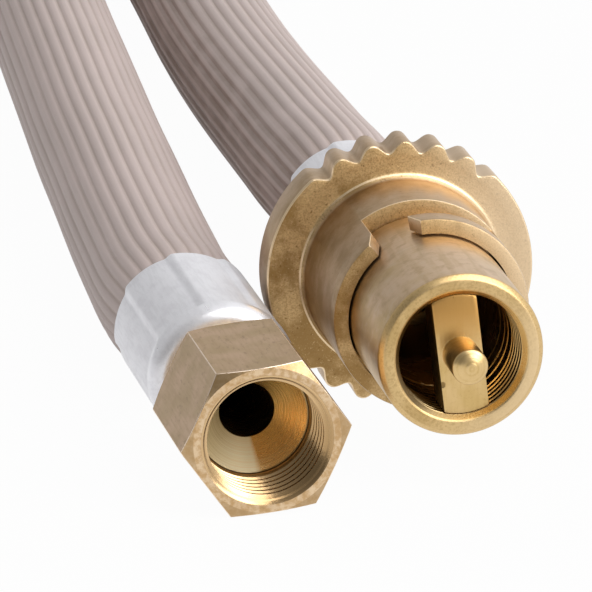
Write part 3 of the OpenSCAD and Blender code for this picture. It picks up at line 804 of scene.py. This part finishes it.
class HoseOperator(bpy.types.Operator):
    """Lays the ribbed hose and the strap on its loop"""

    bl_idname = "gas_hose.hose"
    bl_label = "Hose"

    # Points of the route: x, y, and the height over the hose lying on the floor.
    FLARE_SIDE = (
        (-31.9, 47, 0.3), (-31.3, 65, 0), (-30.5, 86, 0), (-29.3, 110, 0), (-28.2, 134, 0),
        (-26.8, 158, 0), (-25.4, 182, 0), (-23.9, 208, 0), (-22.2, 234, 0.2), (-20, 261, 1.1),
    )
    BAYONET_SIDE = (
        (7, 261, 1.1), (6.5, 234, 0.2), (5.4, 210, 0.1), (4.4, 187, 0.7), (3.6, 165, 1.7),
        (2.9, 143, 3), (2.2, 123, 4.5), (1.2, 103, 6.4), (0.3, 88, 8), (0, 75, 9.2),
    )
    # The loop's neck, the strap on it, and the stretch in which the loop comes down to the floor.
    NECK_X, NECK_HALF, NECK_Y, TIE_Y = -6.0, 12.3, 299.0, 283.0
    TIE_LIFT, SETTLE, LOOP_STEPS = 1.7, 90.0, 24
    STRAP_SLACK, STRAP_ROUND = 0.15, 0.3
    # The hose's end and points behind a ferrule's front, and its radius on the way out of the ferrule.
    HOSE_END, IN_FERRULE = 2.25, (16.0, 28.4, 30.0, 33.0)
    SWELL = ((28.4, 9.4), (30.0, 10.3), (32.0, 10.8), (35.0, 11.0), (38.0, 11.1))
    FLARE_FERRULE, BAYONET_FERRULE = 29.5, 29.0
    # Radii of the layers, and the faces round each.
    COVER_BORE, YARN_OUTER, YARN_BORE, LINING_OUTER = 8.45, 8.36, 7.95, 7.9
    RIB_FACES, BORE_FACES = 8, 24
    # The curve's step, and its fairing past the ferrules: by turns slackened and drawn back.
    STEP, FAIR_FROM, FAIRING, FAIR_ROUNDS = 4.4, 66.0, (0.5, -0.52), 12

    def execute(self, context):
        sizes = context.scene.gas_hose_sizes
        colours = context.scene.gas_hose_colours
        self.lie = FLOOR_Z + sizes.diameter / MM / 2
        route = self.fair(self.smooth(self.knots(sizes.loop_radius / MM)))
        stations = self.stations(route)
        outer, bore = sizes.diameter / 2, sizes.bore / 2
        strap = self.strap(sizes, strap_finish(colours.strap))
        ribbed = self.tube(stations, outer, self.COVER_BORE * MM, sizes.ribs, sizes.rib_height)
        cover = piece(
            "ribbed_hose", ribbed, cover_finish(colours.cover, colours.valley), ROOT, "hose_cover",
            "flare_hose_run", "hose_loop", "bayonet_hose_run",
        )
        thin = [(matrix, 1.0, far) for matrix, _, far in stations[::2] + stations[-1:]]
        braid = self.tube(thin, self.YARN_OUTER * MM, self.YARN_BORE * MM)
        yarn = piece("hose_yarn", braid, yarn_finish(), ROOT, "braid_yarn", "hose_braid")
        liner = self.tube(thin, self.LINING_OUTER * MM, bore)
        rubber = plain_finish("liner_rubber", (0.022, 0.022, 0.025), 0.55, 2.0, 0.02)
        lining = piece("hose_lining", liner, rubber, ROOT, "liner_rubber", "hose_liner")
        return {"FINISHED"}

    def knots(self, radius):
        """The route's points, from the hose's end in the flare ferrule to the one in the bayonet ferrule."""
        inside = (self.HOSE_END, *self.IN_FERRULE)
        front, yaw = Vector(FLARE_FRONT), Matrix.Rotation(FLARE_YAW, 3, "Z")
        flare = [front + yaw @ Vector((0, self.FLARE_FERRULE + behind, 0)) for behind in inside]
        bayonet = [Vector((0, self.BAYONET_FERRULE + behind, 0)) for behind in reversed(inside)]
        out = [Vector((x, y, self.lie + lift)) for x, y, lift in self.FLARE_SIDE]
        back = [Vector((x, y, self.lie + lift)) for x, y, lift in self.BAYONET_SIDE]
        held = self.lie + self.TIE_LIFT
        left = Vector((self.NECK_X - self.NECK_HALF, self.TIE_Y, held))
        right = Vector((self.NECK_X + self.NECK_HALF, self.TIE_Y, held))
        return flare + out + [left] + self.loop(radius) + [right] + back + bayonet

    def loop(self, radius):
        """The stored loop: out, round and back, as three arcs that join smoothly."""
        sweep = math.acos((self.NECK_HALF + radius) / (2 * radius))
        out, whole = radius * sweep, radius * (math.pi + 4 * sweep)
        centre_y = self.NECK_Y + 2 * radius * math.sin(sweep)
        points = []
        for step in range(self.LOOP_STEPS + 1):
            at = whole * step / self.LOOP_STEPS
            near = min(at, whole - at)
            if near < out:
                x = self.NECK_X - self.NECK_HALF - radius + radius * math.cos(near / radius)
                y = self.NECK_Y + radius * math.sin(near / radius)
            else:
                angle = math.pi + sweep - (near - out) / radius
                x = self.NECK_X + radius * math.cos(angle)
                y = centre_y + radius * math.sin(angle)
            if at > whole / 2:
                x = 2 * self.NECK_X - x
            lift = self.TIE_LIFT * (1 - soft_step(near, 0, self.SETTLE))
            points.append(Vector((x, y, self.lie + lift)))
        return points

    def smooth(self, knots):
        """Points close together on one smooth curve through the knots, in metres."""
        knots = [knot * MM for knot in knots]
        ways = [
            (after - before).normalized()
            for before, after in zip(knots[:1] + knots[:-1], knots[1:] + knots[-1:])
        ]
        line = []
        for i, (start, end) in enumerate(zip(knots, knots[1:])):
            third = (end - start).length / 3
            count = max(3, round((end - start).length / (self.STEP * MM)) + 1)
            leave, arrive = start + ways[i] * third, end - ways[i + 1] * third
            line += interpolate_bezier(start, leave, arrive, end, count)[:-1]
        return line + [knots[-1]]

    def fair(self, line):
        """Evens out the curve's bends, between the stretches held straight by the ferrules."""
        free = [i for i, spot in enumerate(line) if spot.y > self.FAIR_FROM * MM]
        for by in self.FAIRING * self.FAIR_ROUNDS:
            pulls = {i: (line[i - 1] + line[i + 1]) / 2 - line[i] for i in free}
            line = [spot + by * pulls[i] if i in pulls else spot for i, spot in enumerate(line)]
        return line

    def swollen(self, behind):
        """The hose's size against the full hose, at a distance behind a ferrule's front."""
        radius, full = self.SWELL[0][1], self.SWELL[-1][1]
        for (near, thin), (far, thick) in zip(self.SWELL, self.SWELL[1:]):
            radius += (thick - thin) * max(0.0, min(1.0, (behind - near) / (far - near)))
        return radius / full

    def stations(self, line):
        """Each ring's place, its size against the full hose, and its distance along the hose."""
        far = [0.0]
        for first, second in zip(line, line[1:]):
            far.append(far[-1] + (second - first).length)
        made = []
        for i, spot in enumerate(line):
            ahead = (line[min(i + 1, len(line) - 1)] - line[max(i - 1, 0)]).normalized()
            side = ahead.cross(Vector((0, 0, 1))).normalized()
            turn = Matrix((side, side.cross(ahead), -ahead)).transposed().to_4x4()
            near = min(far[i], far[-1] - far[i]) / MM + self.HOSE_END
            made.append((Matrix.Translation(spot) @ turn, self.swollen(near), far[i]))
        return made

    def tube(self, stations, outer, bore, ribs=0, rib_height=0.0):
        """A hollow tube along the stations, with lengthwise ribs where there are any."""
        bm = bmesh.new()
        lay = bm.verts.layers.float_vector.new("lay")
        rib = bm.verts.layers.float.new("rib")
        faces = ribs * self.RIB_FACES or self.BORE_FACES
        skin = bmesh.ops.create_circle(bm, segments=faces, radius=outer)["verts"]
        inside = bmesh.ops.create_circle(bm, segments=self.BORE_FACES, radius=bore)["verts"]
        for vert in skin:
            angle = math.atan2(vert.co.y, vert.co.x) + math.pi / 2
            vert[rib] = (0.5 + 0.5 * math.cos(ribs * angle)) if ribs else 0.0
            deep = (1 - vert[rib]) ** 2 * rib_height
            vert.co *= 1 - deep / outer
        for vert in inside:
            vert[rib] = -1.0
        for vert in bm.verts:
            vert[lay] = vert.co
        ring, edges = bm.verts[:], bm.edges[:]
        first = edges
        for i, (matrix, size, far) in enumerate(stations):
            if i:
                made = bmesh.ops.extrude_edge_only(bm, edges=edges)["geom"]
                ring = only(BMVert, made)
                fresh = set(ring)
                edges = [edge for edge in only(BMEdge, made) if fresh.issuperset(edge.verts)]
            for vert in ring:
                flat = vert[lay]
                by = 1.0 if vert[rib] < 0 else size
                vert.co = matrix @ Vector((flat.x * by, flat.y * by, 0))
                vert[lay] = (flat.x, flat.y, far)
        # The bore's faces look inwards, so that the end rings join up without a twist.
        inner = [face for face in bm.faces if all(vert[rib] < 0 for vert in face.verts)]
        bmesh.ops.reverse_faces(bm, faces=inner)
        bmesh.ops.bridge_loops(bm, edges=first)
        bmesh.ops.bridge_loops(bm, edges=edges)
        bmesh.ops.recalc_face_normals(bm, faces=bm.faces)
        return bm

    def strap(self, sizes, finish):
        """A strap round both runs of the hose at the loop's neck."""
        reach = sizes.diameter / 2 + self.STRAP_SLACK * MM
        middle = Vector((self.NECK_X, self.TIE_Y, self.lie + self.TIE_LIFT)) * MM
        bm = bmesh.new()
        half = Vector((self.NECK_HALF * MM, 0, 0))
        ends = []
        for side in (1, -1):
            start = bm.verts.new(middle + side * half + Vector((0, 0, side * reach)))
            made = bmesh.ops.spin(
                bm, geom=[start], cent=middle + side * half, axis=(0, 1, 0), dvec=(0, 0, 0),
                angle=math.pi, steps=18, use_merge=False, use_duplicate=False,
            )["geom_last"]
            ends.append((start, only(BMVert, made)[0]))
        bm.edges.new((ends[0][1], ends[1][0]))
        bm.edges.new((ends[1][1], ends[0][0]))
        made = bmesh.ops.extrude_edge_only(bm, edges=bm.edges[:])["geom"]
        bmesh.ops.translate(bm, verts=only(BMVert, made), vec=(0, sizes.strap_width, 0))
        bmesh.ops.recalc_face_normals(bm, faces=bm.faces)
        bmesh.ops.solidify(bm, geom=bm.faces[:], thickness=-sizes.strap_thickness)
        bmesh.ops.recalc_face_normals(bm, faces=bm.faces)
        eased(bm, creases(bm, 60), self.STRAP_ROUND * MM)
        return piece("neck_strap", bm, finish, ROOT, "tie_strap", "hose_tie")


class NozzleOperator(bpy.types.Operator):
    """Turns the bayonet nozzle"""

    bl_idname = "gas_hose.nozzle"
    bl_label = "Nozzle"

    # Radii, and the bevel of the mouth.
    LIP, BODY, BEVEL, NECK, SHOULDER = 10.1, 12.45, 0.8, 12.2, 15.05
    SOCKET, GAS_WAY, BORE, GROOVE = 8.45, 5.2, 9.3, 9.75
    # Distances along the axis.
    NECK_FROM, SHOULDER_FROM, REAR, SOCKET_FROM, CONE_BACK, CONE_FRONT = 10.2, 24.7, 26.5, 16.7, 12.1, 8.0
    THREADS, THREAD_FROM, THREAD_PITCH, GROOVE_HALF = 6, 1.06, 1.3, 0.26
    DEEP_GROOVES = [-10.4, -8.2, -5.4]
    WALLS = [
        (LIP, MOUTH_Y), (BODY - BEVEL, MOUTH_Y), (BODY, MOUTH_Y + BEVEL), (BODY, NECK_FROM),
        (NECK, NECK_FROM), (NECK, SHOULDER_FROM), (SHOULDER, SHOULDER_FROM), (SHOULDER, REAR),
        (SOCKET, REAR), (SOCKET, SOCKET_FROM), (GAS_WAY, SOCKET_FROM), (GAS_WAY, CONE_BACK),
        (BORE, CONE_FRONT),
    ]

    def execute(self, context):
        colours = context.scene.gas_hose_colours
        threads = [MOUTH_Y + self.THREAD_FROM + self.THREAD_PITCH * step for step in range(self.THREADS)]
        grooves = []
        for at in threads + self.DEEP_GROOVES:
            front, back = at - self.GROOVE_HALF, at + self.GROOVE_HALF
            grooves += [(self.BORE, front), (self.GROOVE, at), (self.BORE, back)]
        bm, corners = outline(self.WALLS + grooves[::-1])
        rounded(bm, corners[:3], context.scene.gas_hose_fittings.rim_round)
        finish = nozzle_finish(colours.nozzle, colours.rim)
        piece("turned_nozzle", spun(bm, steps=160), finish, ROOT, "nozzle_brass", "nozzle")
        return {"FINISHED"}


class CollarOperator(bpy.types.Operator):
    """Makes the slotted collar with its grip flange"""

    bl_idname = "gas_hose.collar"
    bl_label = "Collar"

    # Radii of the ring and its bore, then distances along the axis.
    RING, RELIEF, JOURNAL, FILLET = 15.0, 12.75, 12.25, 0.8
    LUG, SLOT_BACK, FLANGE, REAR = 3.4, 10.6, 22.4, 29.0
    # A slot in degrees, and how far its mouth widens, over which stretch of the ring beside it.
    SLOT_FROM, SLOT_OPEN, SLOT_RUN, LEAD, LEAD_YIELD = -35.0, 23.0, 62.0, 1.3, 12.0
    # The flange, the band of it that the notches bend, and the notches.
    GRIP, GRIP_BAND = 20.8, 2.4
    NOTCH_DEPTH, NOTCH_PITCH, NOTCH_TURN, NOTCHES, NOTCH_SHAPE = 1.7, 15.0, 2.0, 6, 1.3
    # The recess for the nozzle's shoulder, and the clip's groove in it.
    RECESS, RECESS_FROM, CLIP, CLIP_FROM, CLIP_TO = 15.35, 23.9, 16.4, 26.5, 27.6
    RING_ROUND, FILLET_ROUND = 0.3, 0.35
    WALLS = [
        (RING, LUG), (RING, SLOT_BACK), (RING, FLANGE - FILLET), (RING + FILLET, FLANGE),
        (GRIP - GRIP_BAND, FLANGE), (GRIP, FLANGE), (GRIP, REAR), (GRIP - GRIP_BAND, REAR),
        (RECESS, REAR), (RECESS, CLIP_TO), (CLIP, CLIP_TO), (CLIP, CLIP_FROM), (RECESS, CLIP_FROM),
        (RECESS, RECESS_FROM), (JOURNAL, RECESS_FROM), (JOURNAL, SLOT_BACK), (RELIEF, SLOT_BACK),
        (RELIEF, LUG), (RELIEF, 0.0), (RING, 0.0),
    ]

    def execute(self, context):
        sizes = context.scene.gas_hose_fittings
        colours = context.scene.gas_hose_colours
        bm, corners = outline(self.WALLS)
        rounded(bm, [corners[-1]], self.RING_ROUND * MM, 2)
        rounded(bm, corners[2:4], self.FILLET_ROUND * MM, 2)
        rounded(bm, corners[5:7], sizes.flange_round)
        spun(bm, steps=360)
        rubbed_and_sheen = bm.faces.layers.float.new("rubbed_and_sheen")
        self.mark_rubbed_and_sheen(bm, rubbed_and_sheen)
        self.scallop(bm)
        for side in (0, 180):
            self.slot(bm, side)
            self.lead(bm, side)
        self.soften(bm, sizes.edge_round, rubbed_and_sheen)
        finish = collar_finish(colours.hub, colours.cast)
        piece("grip_collar", bm, finish, "collar", "collar_brass", "bayonet_collar")
        return {"FINISHED"}

    def mark_rubbed_and_sheen(self, bm, rubbed_and_sheen):
        """Marks the flange's front edge as rubbed, and the top of its fillet for a painted highlight."""
        for face in bm.faces:
            spot = face.calc_center_median()
            radius, along = from_axis(spot), spot.y / MM
            if radius > self.GRIP - 0.27 and along < self.FLANGE + 0.27:
                face[rubbed_and_sheen] = 1.0
            # The top of the fillet is marked for a painted highlight line.
            elif -0.22 < radius - self.RING - self.FILLET < 0.12 and along < self.FLANGE + 0.1:
                face[rubbed_and_sheen] = 0.9

    def scallop(self, bm):
        """Presses the notches of the two gripping sectors into the flange's rim."""
        ends = self.NOTCH_PITCH * self.NOTCHES / 2
        for vert in bm.verts:
            if from_axis(vert.co) < self.GRIP - 1.5 or vert.co.y / MM < self.FLANGE - 0.1:
                continue
            for side in (0, 180):
                turn = apart(clockwise(vert.co), self.NOTCH_TURN + side)
                if abs(turn) < ends:
                    wave = 0.5 - 0.5 * math.cos(math.tau * (turn + ends) / self.NOTCH_PITCH)
                    by = 1 - self.NOTCH_DEPTH * wave ** self.NOTCH_SHAPE / self.GRIP
                    vert.co.x *= by
                    vert.co.z *= by

    def slot(self, bm, side):
        """Cuts one bayonet slot: an opening from the front and a run behind the lug."""

        def inside(face):
            spot = face.calc_center_median()
            along = spot.y / MM
            turn = apart(clockwise(spot), self.SLOT_FROM + side)
            if not self.RELIEF - 0.1 < from_axis(spot) < self.RING + 0.1 or along > self.SLOT_BACK - 0.01:
                return False
            return 0 < turn < self.SLOT_OPEN + (self.SLOT_RUN if along > self.LUG else 0)

        bmesh.ops.delete(bm, geom=[face for face in bm.faces if inside(face)], context="FACES")
        walls = [edge for edge in bm.edges if edge.is_boundary and self.level(edge)]
        bmesh.ops.bridge_loops(bm, edges=walls)
        bmesh.ops.holes_fill(bm, edges=[edge for edge in bm.edges if edge.is_boundary], sides=0)
        bmesh.ops.recalc_face_normals(bm, faces=bm.faces)

    def lead(self, bm, side):
        """Widens a slot's opening towards the front, and draws the ring beside it together."""
        walls = ((-1, self.SLOT_FROM), (1, self.SLOT_FROM + self.SLOT_OPEN))
        for vert in bm.verts:
            along = vert.co.y / MM
            if along > self.LUG or from_axis(vert.co) > self.RING + 0.05:
                continue
            for way, wall in walls:
                beside = way * apart(clockwise(vert.co), wall + side)
                if -0.1 < beside < self.LEAD_YIELD:
                    share = (1 - along / self.LUG) * (1 - max(0.0, beside) / self.LEAD_YIELD)
                    shift = way * self.LEAD / self.RING * share
                    vert.co = Matrix.Rotation(shift, 3, "Y") @ vert.co

    def level(self, edge):
        """True for an edge that stays on the ring's outer or inner wall."""
        radii = [from_axis(vert.co) for vert in edge.verts]
        return min(radii) > self.RING - 0.05 or max(radii) < self.RELIEF + 0.05

    def soften(self, bm, size, rubbed_and_sheen):
        """Rounds the slots' edges, and marks them as rubbed."""

        def by_slot(vert):
            return vert.co.y / MM < self.SLOT_BACK + 0.1 and from_axis(vert.co) > self.RING - 0.5

        edges = [edge for edge in creases(bm, 50) if all(by_slot(vert) for vert in edge.verts)]
        for face in eased(bm, edges, size):
            face[rubbed_and_sheen] = 1.0


class NutOperator(bpy.types.Operator):
    """Makes the flare swivel nut"""

    bl_idname = "gas_hose.nut"
    bl_label = "Flare nut"

    # Across the flats, along the axis, and the hexagon's turn in degrees. Then the thread.
    ACROSS, LONG, TURN = 22.225, 22.5, 5.4
    FLAT = ACROSS / 2
    MINOR, MAJOR, PITCH, MOUTH = 8.731, 9.525, 1.5875, 9.925
    TURNS, FIRST_TURN, TURN_HALF, ROOT_HALF = 6, 0.858, 0.56, 0.1
    # The first turn of the thread runs out in the countersink.
    RUN_OUT = [(9.70, 0.12), (9.78, 0.30), (9.48, 0.47), (9.235, 0.69)]
    # The chamber behind the thread holds the tail's head. The hexagon comes from the wall past FLAT.
    WAY_OUT, CHAMBER, CHAMBER_FROM, NIP = 6.7, 9.575, 10.9, 8.58
    WALLS = [
        (MOUTH, 0.0), (FLAT - 0.1, 0.0), (FLAT + 1.0, 0.0), (FLAT + 1.0, LONG), (FLAT - 0.3, LONG),
        (WAY_OUT, LONG), (WAY_OUT, 20.05), (CHAMBER, 17.175), (CHAMBER, CHAMBER_FROM),
        (NIP, CHAMBER_FROM), (NIP, 10.5), (MINOR, 10.3),
    ]
    FRONT_CHAMFER, BACK_CHAMFER_FROM, BACK_CHAMFER_STEEP = 24, 11.43, 1.5

    def execute(self, context):
        colours = context.scene.gas_hose_colours
        thread = []
        for step in range(self.TURNS):
            at = self.FIRST_TURN + self.PITCH * step
            thread += [
                (self.MINOR, at - self.TURN_HALF), (self.MAJOR, at - self.ROOT_HALF),
                (self.MAJOR, at + self.ROOT_HALF), (self.MINOR, at + self.TURN_HALF),
            ]
        thread[:1] = self.RUN_OUT
        bm, _ = outline(self.WALLS + thread[::-1])
        spun(bm, steps=96)
        bmesh.ops.rotate(bm, verts=bm.verts, cent=(0, 0, 0), matrix=about_axis(-self.TURN))
        self.hexagon(bm)
        rubbed_and_sheen = bm.faces.layers.float.new("rubbed_and_sheen")
        self.soften(bm, context.scene.gas_hose_fittings.hexagon_round, rubbed_and_sheen)
        bmesh.ops.transform(bm, matrix=FLARE, verts=bm.verts)
        finish = nut_finish(colours.nut, colours.nut_end)
        piece("swivel_nut", bm, finish, "nut", "nut_brass", "flare_nut", sharp=math.radians(12))
        return {"FINISHED"}

    def hexagon(self, bm):
        """Pushes the outer wall out to a hexagon whose corners are chamfered at both ends."""
        slope = math.tan(math.radians(self.FRONT_CHAMFER))
        for vert in bm.verts:
            radius = from_axis(vert.co)
            if radius < self.FLAT + 0.5:
                continue
            turn = (clockwise(vert.co) - 90 + self.TURN) % 60 - 30
            reach = self.FLAT / math.cos(math.radians(turn))
            if vert.co.y / MM < 1:
                vert.co.y = (reach - self.FLAT) * slope * MM
            else:
                cut = max(0.0, (reach - self.BACK_CHAMFER_FROM) / self.BACK_CHAMFER_STEEP)
                vert.co.y = (self.LONG - cut) * MM
            vert.co.x *= reach / radius
            vert.co.z *= reach / radius
        bm.normal_update()

    def soften(self, bm, size, rubbed_and_sheen):
        """Rounds the hexagon's edges, and marks them as rubbed and for a painted highlight."""
        least = self.FLAT - 0.01
        outer = [edge for edge in creases(bm, 20) if all(from_axis(vert.co) > least for vert in edge.verts)]
        for face in eased(bm, outer, size):
            face[rubbed_and_sheen] = 1.0


class BridgeOperator(bpy.types.Operator):
    """Makes the bar across the mouth and the pin that opens the socket's valve"""

    bl_idname = "gas_hose.bridge"
    bl_label = "Bridge and pin"

    # The bar, with its lean in degrees, then the pin and the rivet head behind it.
    FACE, BACK, HALF, REACH, LEAN = -19.5, -13.5, 3.4, 9.25, -7.0
    TOP_FROM, TOP_ROUND, EDGE_ROUND = 7.0, 0.6, 0.14
    PIN, PIN_LONG, PIN_TIP, PIN_CONE, PIN_ROUND = 2.7, 7.5, 0.8, 0.9, 0.25
    SHANK, RIVET, RIVET_HIGH = 1.8, 2.2, 1.0
    TIP, REAR = FACE - PIN_LONG, BACK + RIVET_HIGH
    BAR_WALLS = [(0.0, FACE), (REACH, FACE), (REACH, BACK), (0.0, BACK)]
    PIN_WALLS = [
        (0.0, TIP), (PIN_TIP, TIP), (PIN, TIP + PIN_CONE), (PIN, FACE), (SHANK, FACE), (SHANK, BACK),
        (PIN, BACK), (RIVET, REAR), (0.0, REAR),
    ]

    def execute(self, context):
        finish = bridge_finish(context.scene.gas_hose_colours.bridge)
        piece("mouth_bridge", self.bar(), finish, ROOT, "bridge_brass", "bridge")
        piece("valve_pin", self.pin(), finish, ROOT, "bridge_brass", "actuator_pin")
        return {"FINISHED"}

    def bar(self):
        """A disc cut down to a bar, whose top edge is rounded most."""
        bm, _ = outline(self.BAR_WALLS)
        spun(bm, steps=96)
        lean = about_axis(self.LEAN)
        bmesh.ops.rotate(bm, verts=bm.verts, cent=(0, 0, 0), matrix=lean)
        for side in (1, -1):
            way = lean @ Vector((side, 0, 0))
            cut = bmesh.ops.bisect_plane(
                bm, geom=bm.verts[:] + bm.edges[:] + bm.faces[:], plane_co=way * self.HALF * MM, plane_no=way,
                clear_outer=True,
            )["geom_cut"]
            bmesh.ops.edgeloop_fill(bm, edges=only(BMEdge, cut))
        bmesh.ops.dissolve_limit(bm, angle_limit=math.radians(0.5), verts=bm.verts, edges=bm.edges)
        bmesh.ops.recalc_face_normals(bm, faces=bm.faces)

        def on_top(vert):
            return vert.co.z > self.TOP_FROM * MM and vert.co.y < (self.FACE + 0.1) * MM

        top = [edge for edge in creases(bm, 40) if all(on_top(vert) for vert in edge.verts)]
        eased(bm, top, self.TOP_ROUND * MM)
        eased(bm, creases(bm, 50), self.EDGE_ROUND * MM)
        return bm

    def pin(self):
        """A pin with a coned tip, riveted through the bar."""
        bm, corners = outline(self.PIN_WALLS)
        rounded(bm, corners[2:3], self.PIN_ROUND * MM)
        return spun(bm, steps=64)


class FerruleOperator(bpy.types.Operator):
    """Makes the two crimped ferrules"""

    bl_idname = "gas_hose.ferrules"
    bl_label = "Ferrules"

    OUTER, LONG, LIP, LIP_LONG, GRIP = 11.4, 30.0, 7.2, 2.2, 9.45
    MOUTH, MOUTH_LONG, FRONT_ROUND, REAR_ROUND = 10.47, 1.7, 2.6, 0.1
    # Where the pressed wall begins, with the rings that bend there.
    PRESS_FROM, PRESS_TO, BEND = 3.1, 4.4, (3.2, 3.5, 3.75, 4.0, 4.3)
    # The ridges that the dies left, the gap between two in degrees, and the oval.
    RIDGES, RIDGE, RIDGE_SHAPE, RIDGE_GAP = 8, 0.5, 0.8, 8
    WIDE_AT, WIDE, WIDE_SHAPE = 57.0, 0.4, 6
    INNER_WALLS = [(MOUTH, LONG), (GRIP, LONG - MOUTH_LONG), (GRIP, LIP_LONG), (LIP, LIP_LONG), (LIP, 0.0)]

    def execute(self, context):
        base = context.scene.gas_hose_colours.alloy
        places = {
            "flare": (35.0, FLARE @ Matrix.Translation((0, HoseOperator.FLARE_FERRULE * MM, 0))),
            "bayonet": (31.0, Matrix.Translation((0, HoseOperator.BAYONET_FERRULE * MM, 0))),
        }
        for end, (turn, place) in places.items():
            bm = self.shell(context.scene.gas_hose_fittings, turn)
            bmesh.ops.transform(bm, matrix=place, verts=bm.verts)
            finish = alloy_finish(base, end + "_alloy", place)
            piece(end + "_crimp", bm, finish, ROOT, "ferrule_alloy", end + "_ferrule")
        return {"FINISHED"}

    def shell(self, sizes, turn):
        """Turns the shell, then presses its wall in between the ridges."""
        wall = [(self.OUTER, at) for at in (0.0, *self.BEND, self.LONG)]
        bm, corners = outline(wall + self.INNER_WALLS)
        rounded(bm, corners[6:7], self.REAR_ROUND * MM, 2)
        rounded(bm, corners[:1], self.FRONT_ROUND * MM, 8)
        spun(bm, steps=360)
        for vert in bm.verts:
            self.crimp(vert, sizes, turn)
        return bm

    def crimp(self, vert, sizes, turn):
        """Presses one point of the outer wall in, to a slight oval whose ridges are steep on one side."""
        radius = from_axis(vert.co) * MM
        if radius < (self.OUTER - 0.5) * MM:
            return
        pitch = 360 / self.RIDGES
        past = (clockwise(vert.co) - turn) % pitch
        fall = max(1 - (past / (pitch - self.RIDGE_GAP)) ** self.RIDGE_SHAPE, 0)
        high = fall + soft_step(past, pitch - self.RIDGE_GAP - 1, pitch - 1)
        wide = math.cos(math.radians(clockwise(vert.co) - self.WIDE_AT)) ** self.WIDE_SHAPE
        pressed = sizes.crimp / 2 + (self.RIDGE * min(high, 1.0) + self.WIDE * wide) * MM
        share = soft_step(vert.co.y / MM, self.PRESS_FROM, self.PRESS_TO)
        by = 1 + share * (min(pressed, radius) / radius - 1)
        vert.co.x *= by
        vert.co.z *= by


class InnerOperator(bpy.types.Operator):
    """Gives the tails, washer, clip and gasket their finishes"""

    bl_idname = "gas_hose.inner"
    bl_label = "Inner pieces"

    def execute(self, context):
        seat = context.scene.gas_hose_colours.seat
        dress("flare_tail", seat_finish(seat, "flare_seat_brass", FLARE))
        dress("bayonet_tail", seat_finish(seat, "bayonet_tail_brass", BAYONET))
        dress("collar_circlip", clip_finish())
        dress("thrust_washer", plain_finish("washer_plastic", (0.70, 0.64, 0.44), 0.42, 1.6, 0.01))
        dress("tail_gasket", plain_finish("gasket_rubber", (0.030, 0.030, 0.033), 0.55, 2.2, 0.02))
        return {"FINISHED"}


OPERATORS = (
    StageOperator, HoseOperator, NozzleOperator, CollarOperator, NutOperator,
    BridgeOperator, FerruleOperator, InnerOperator,
)
GROUPS = {
    "gas_hose_sizes": HoseSizes,
    "gas_hose_fittings": FittingSizes,
    "gas_hose_colours": FinishColours,
    "gas_hose_stage": StageSettings,
}


class GasHosePanel(bpy.types.Panel):
    """Lists the pieces, sizes and colours of the gas hose"""

    bl_idname = "VIEW3D_PT_gas_hose"
    bl_label = "Gas hose"
    bl_space_type = "VIEW_3D"
    bl_region_type = "UI"
    bl_category = "Gas hose"

    def draw(self, context):
        for operator in OPERATORS:
            self.layout.operator(operator.bl_idname)
        for name, group in GROUPS.items():
            box = self.layout.box()
            for field in group.__annotations__:
                box.prop(getattr(context.scene, name), field)


def register():
    for name, group in GROUPS.items():
        bpy.utils.register_class(group)
        setattr(bpy.types.Scene, name, PointerProperty(type=group))
    for operator in OPERATORS:
        bpy.utils.register_class(operator)
    bpy.utils.register_class(GasHosePanel)


def unregister():
    bpy.utils.unregister_class(GasHosePanel)
    for operator in reversed(OPERATORS):
        bpy.utils.unregister_class(operator)
    for name, group in GROUPS.items():
        delattr(bpy.types.Scene, name)
        bpy.utils.unregister_class(group)


def main():
    register()
    bpy.ops.gas_hose.stage()
    bpy.ops.gas_hose.hose()
    bpy.ops.gas_hose.nozzle()
    bpy.ops.gas_hose.collar()
    bpy.ops.gas_hose.nut()
    bpy.ops.gas_hose.bridge()
    bpy.ops.gas_hose.ferrules()
    bpy.ops.gas_hose.inner()


if __name__ == "__main__":
    main()
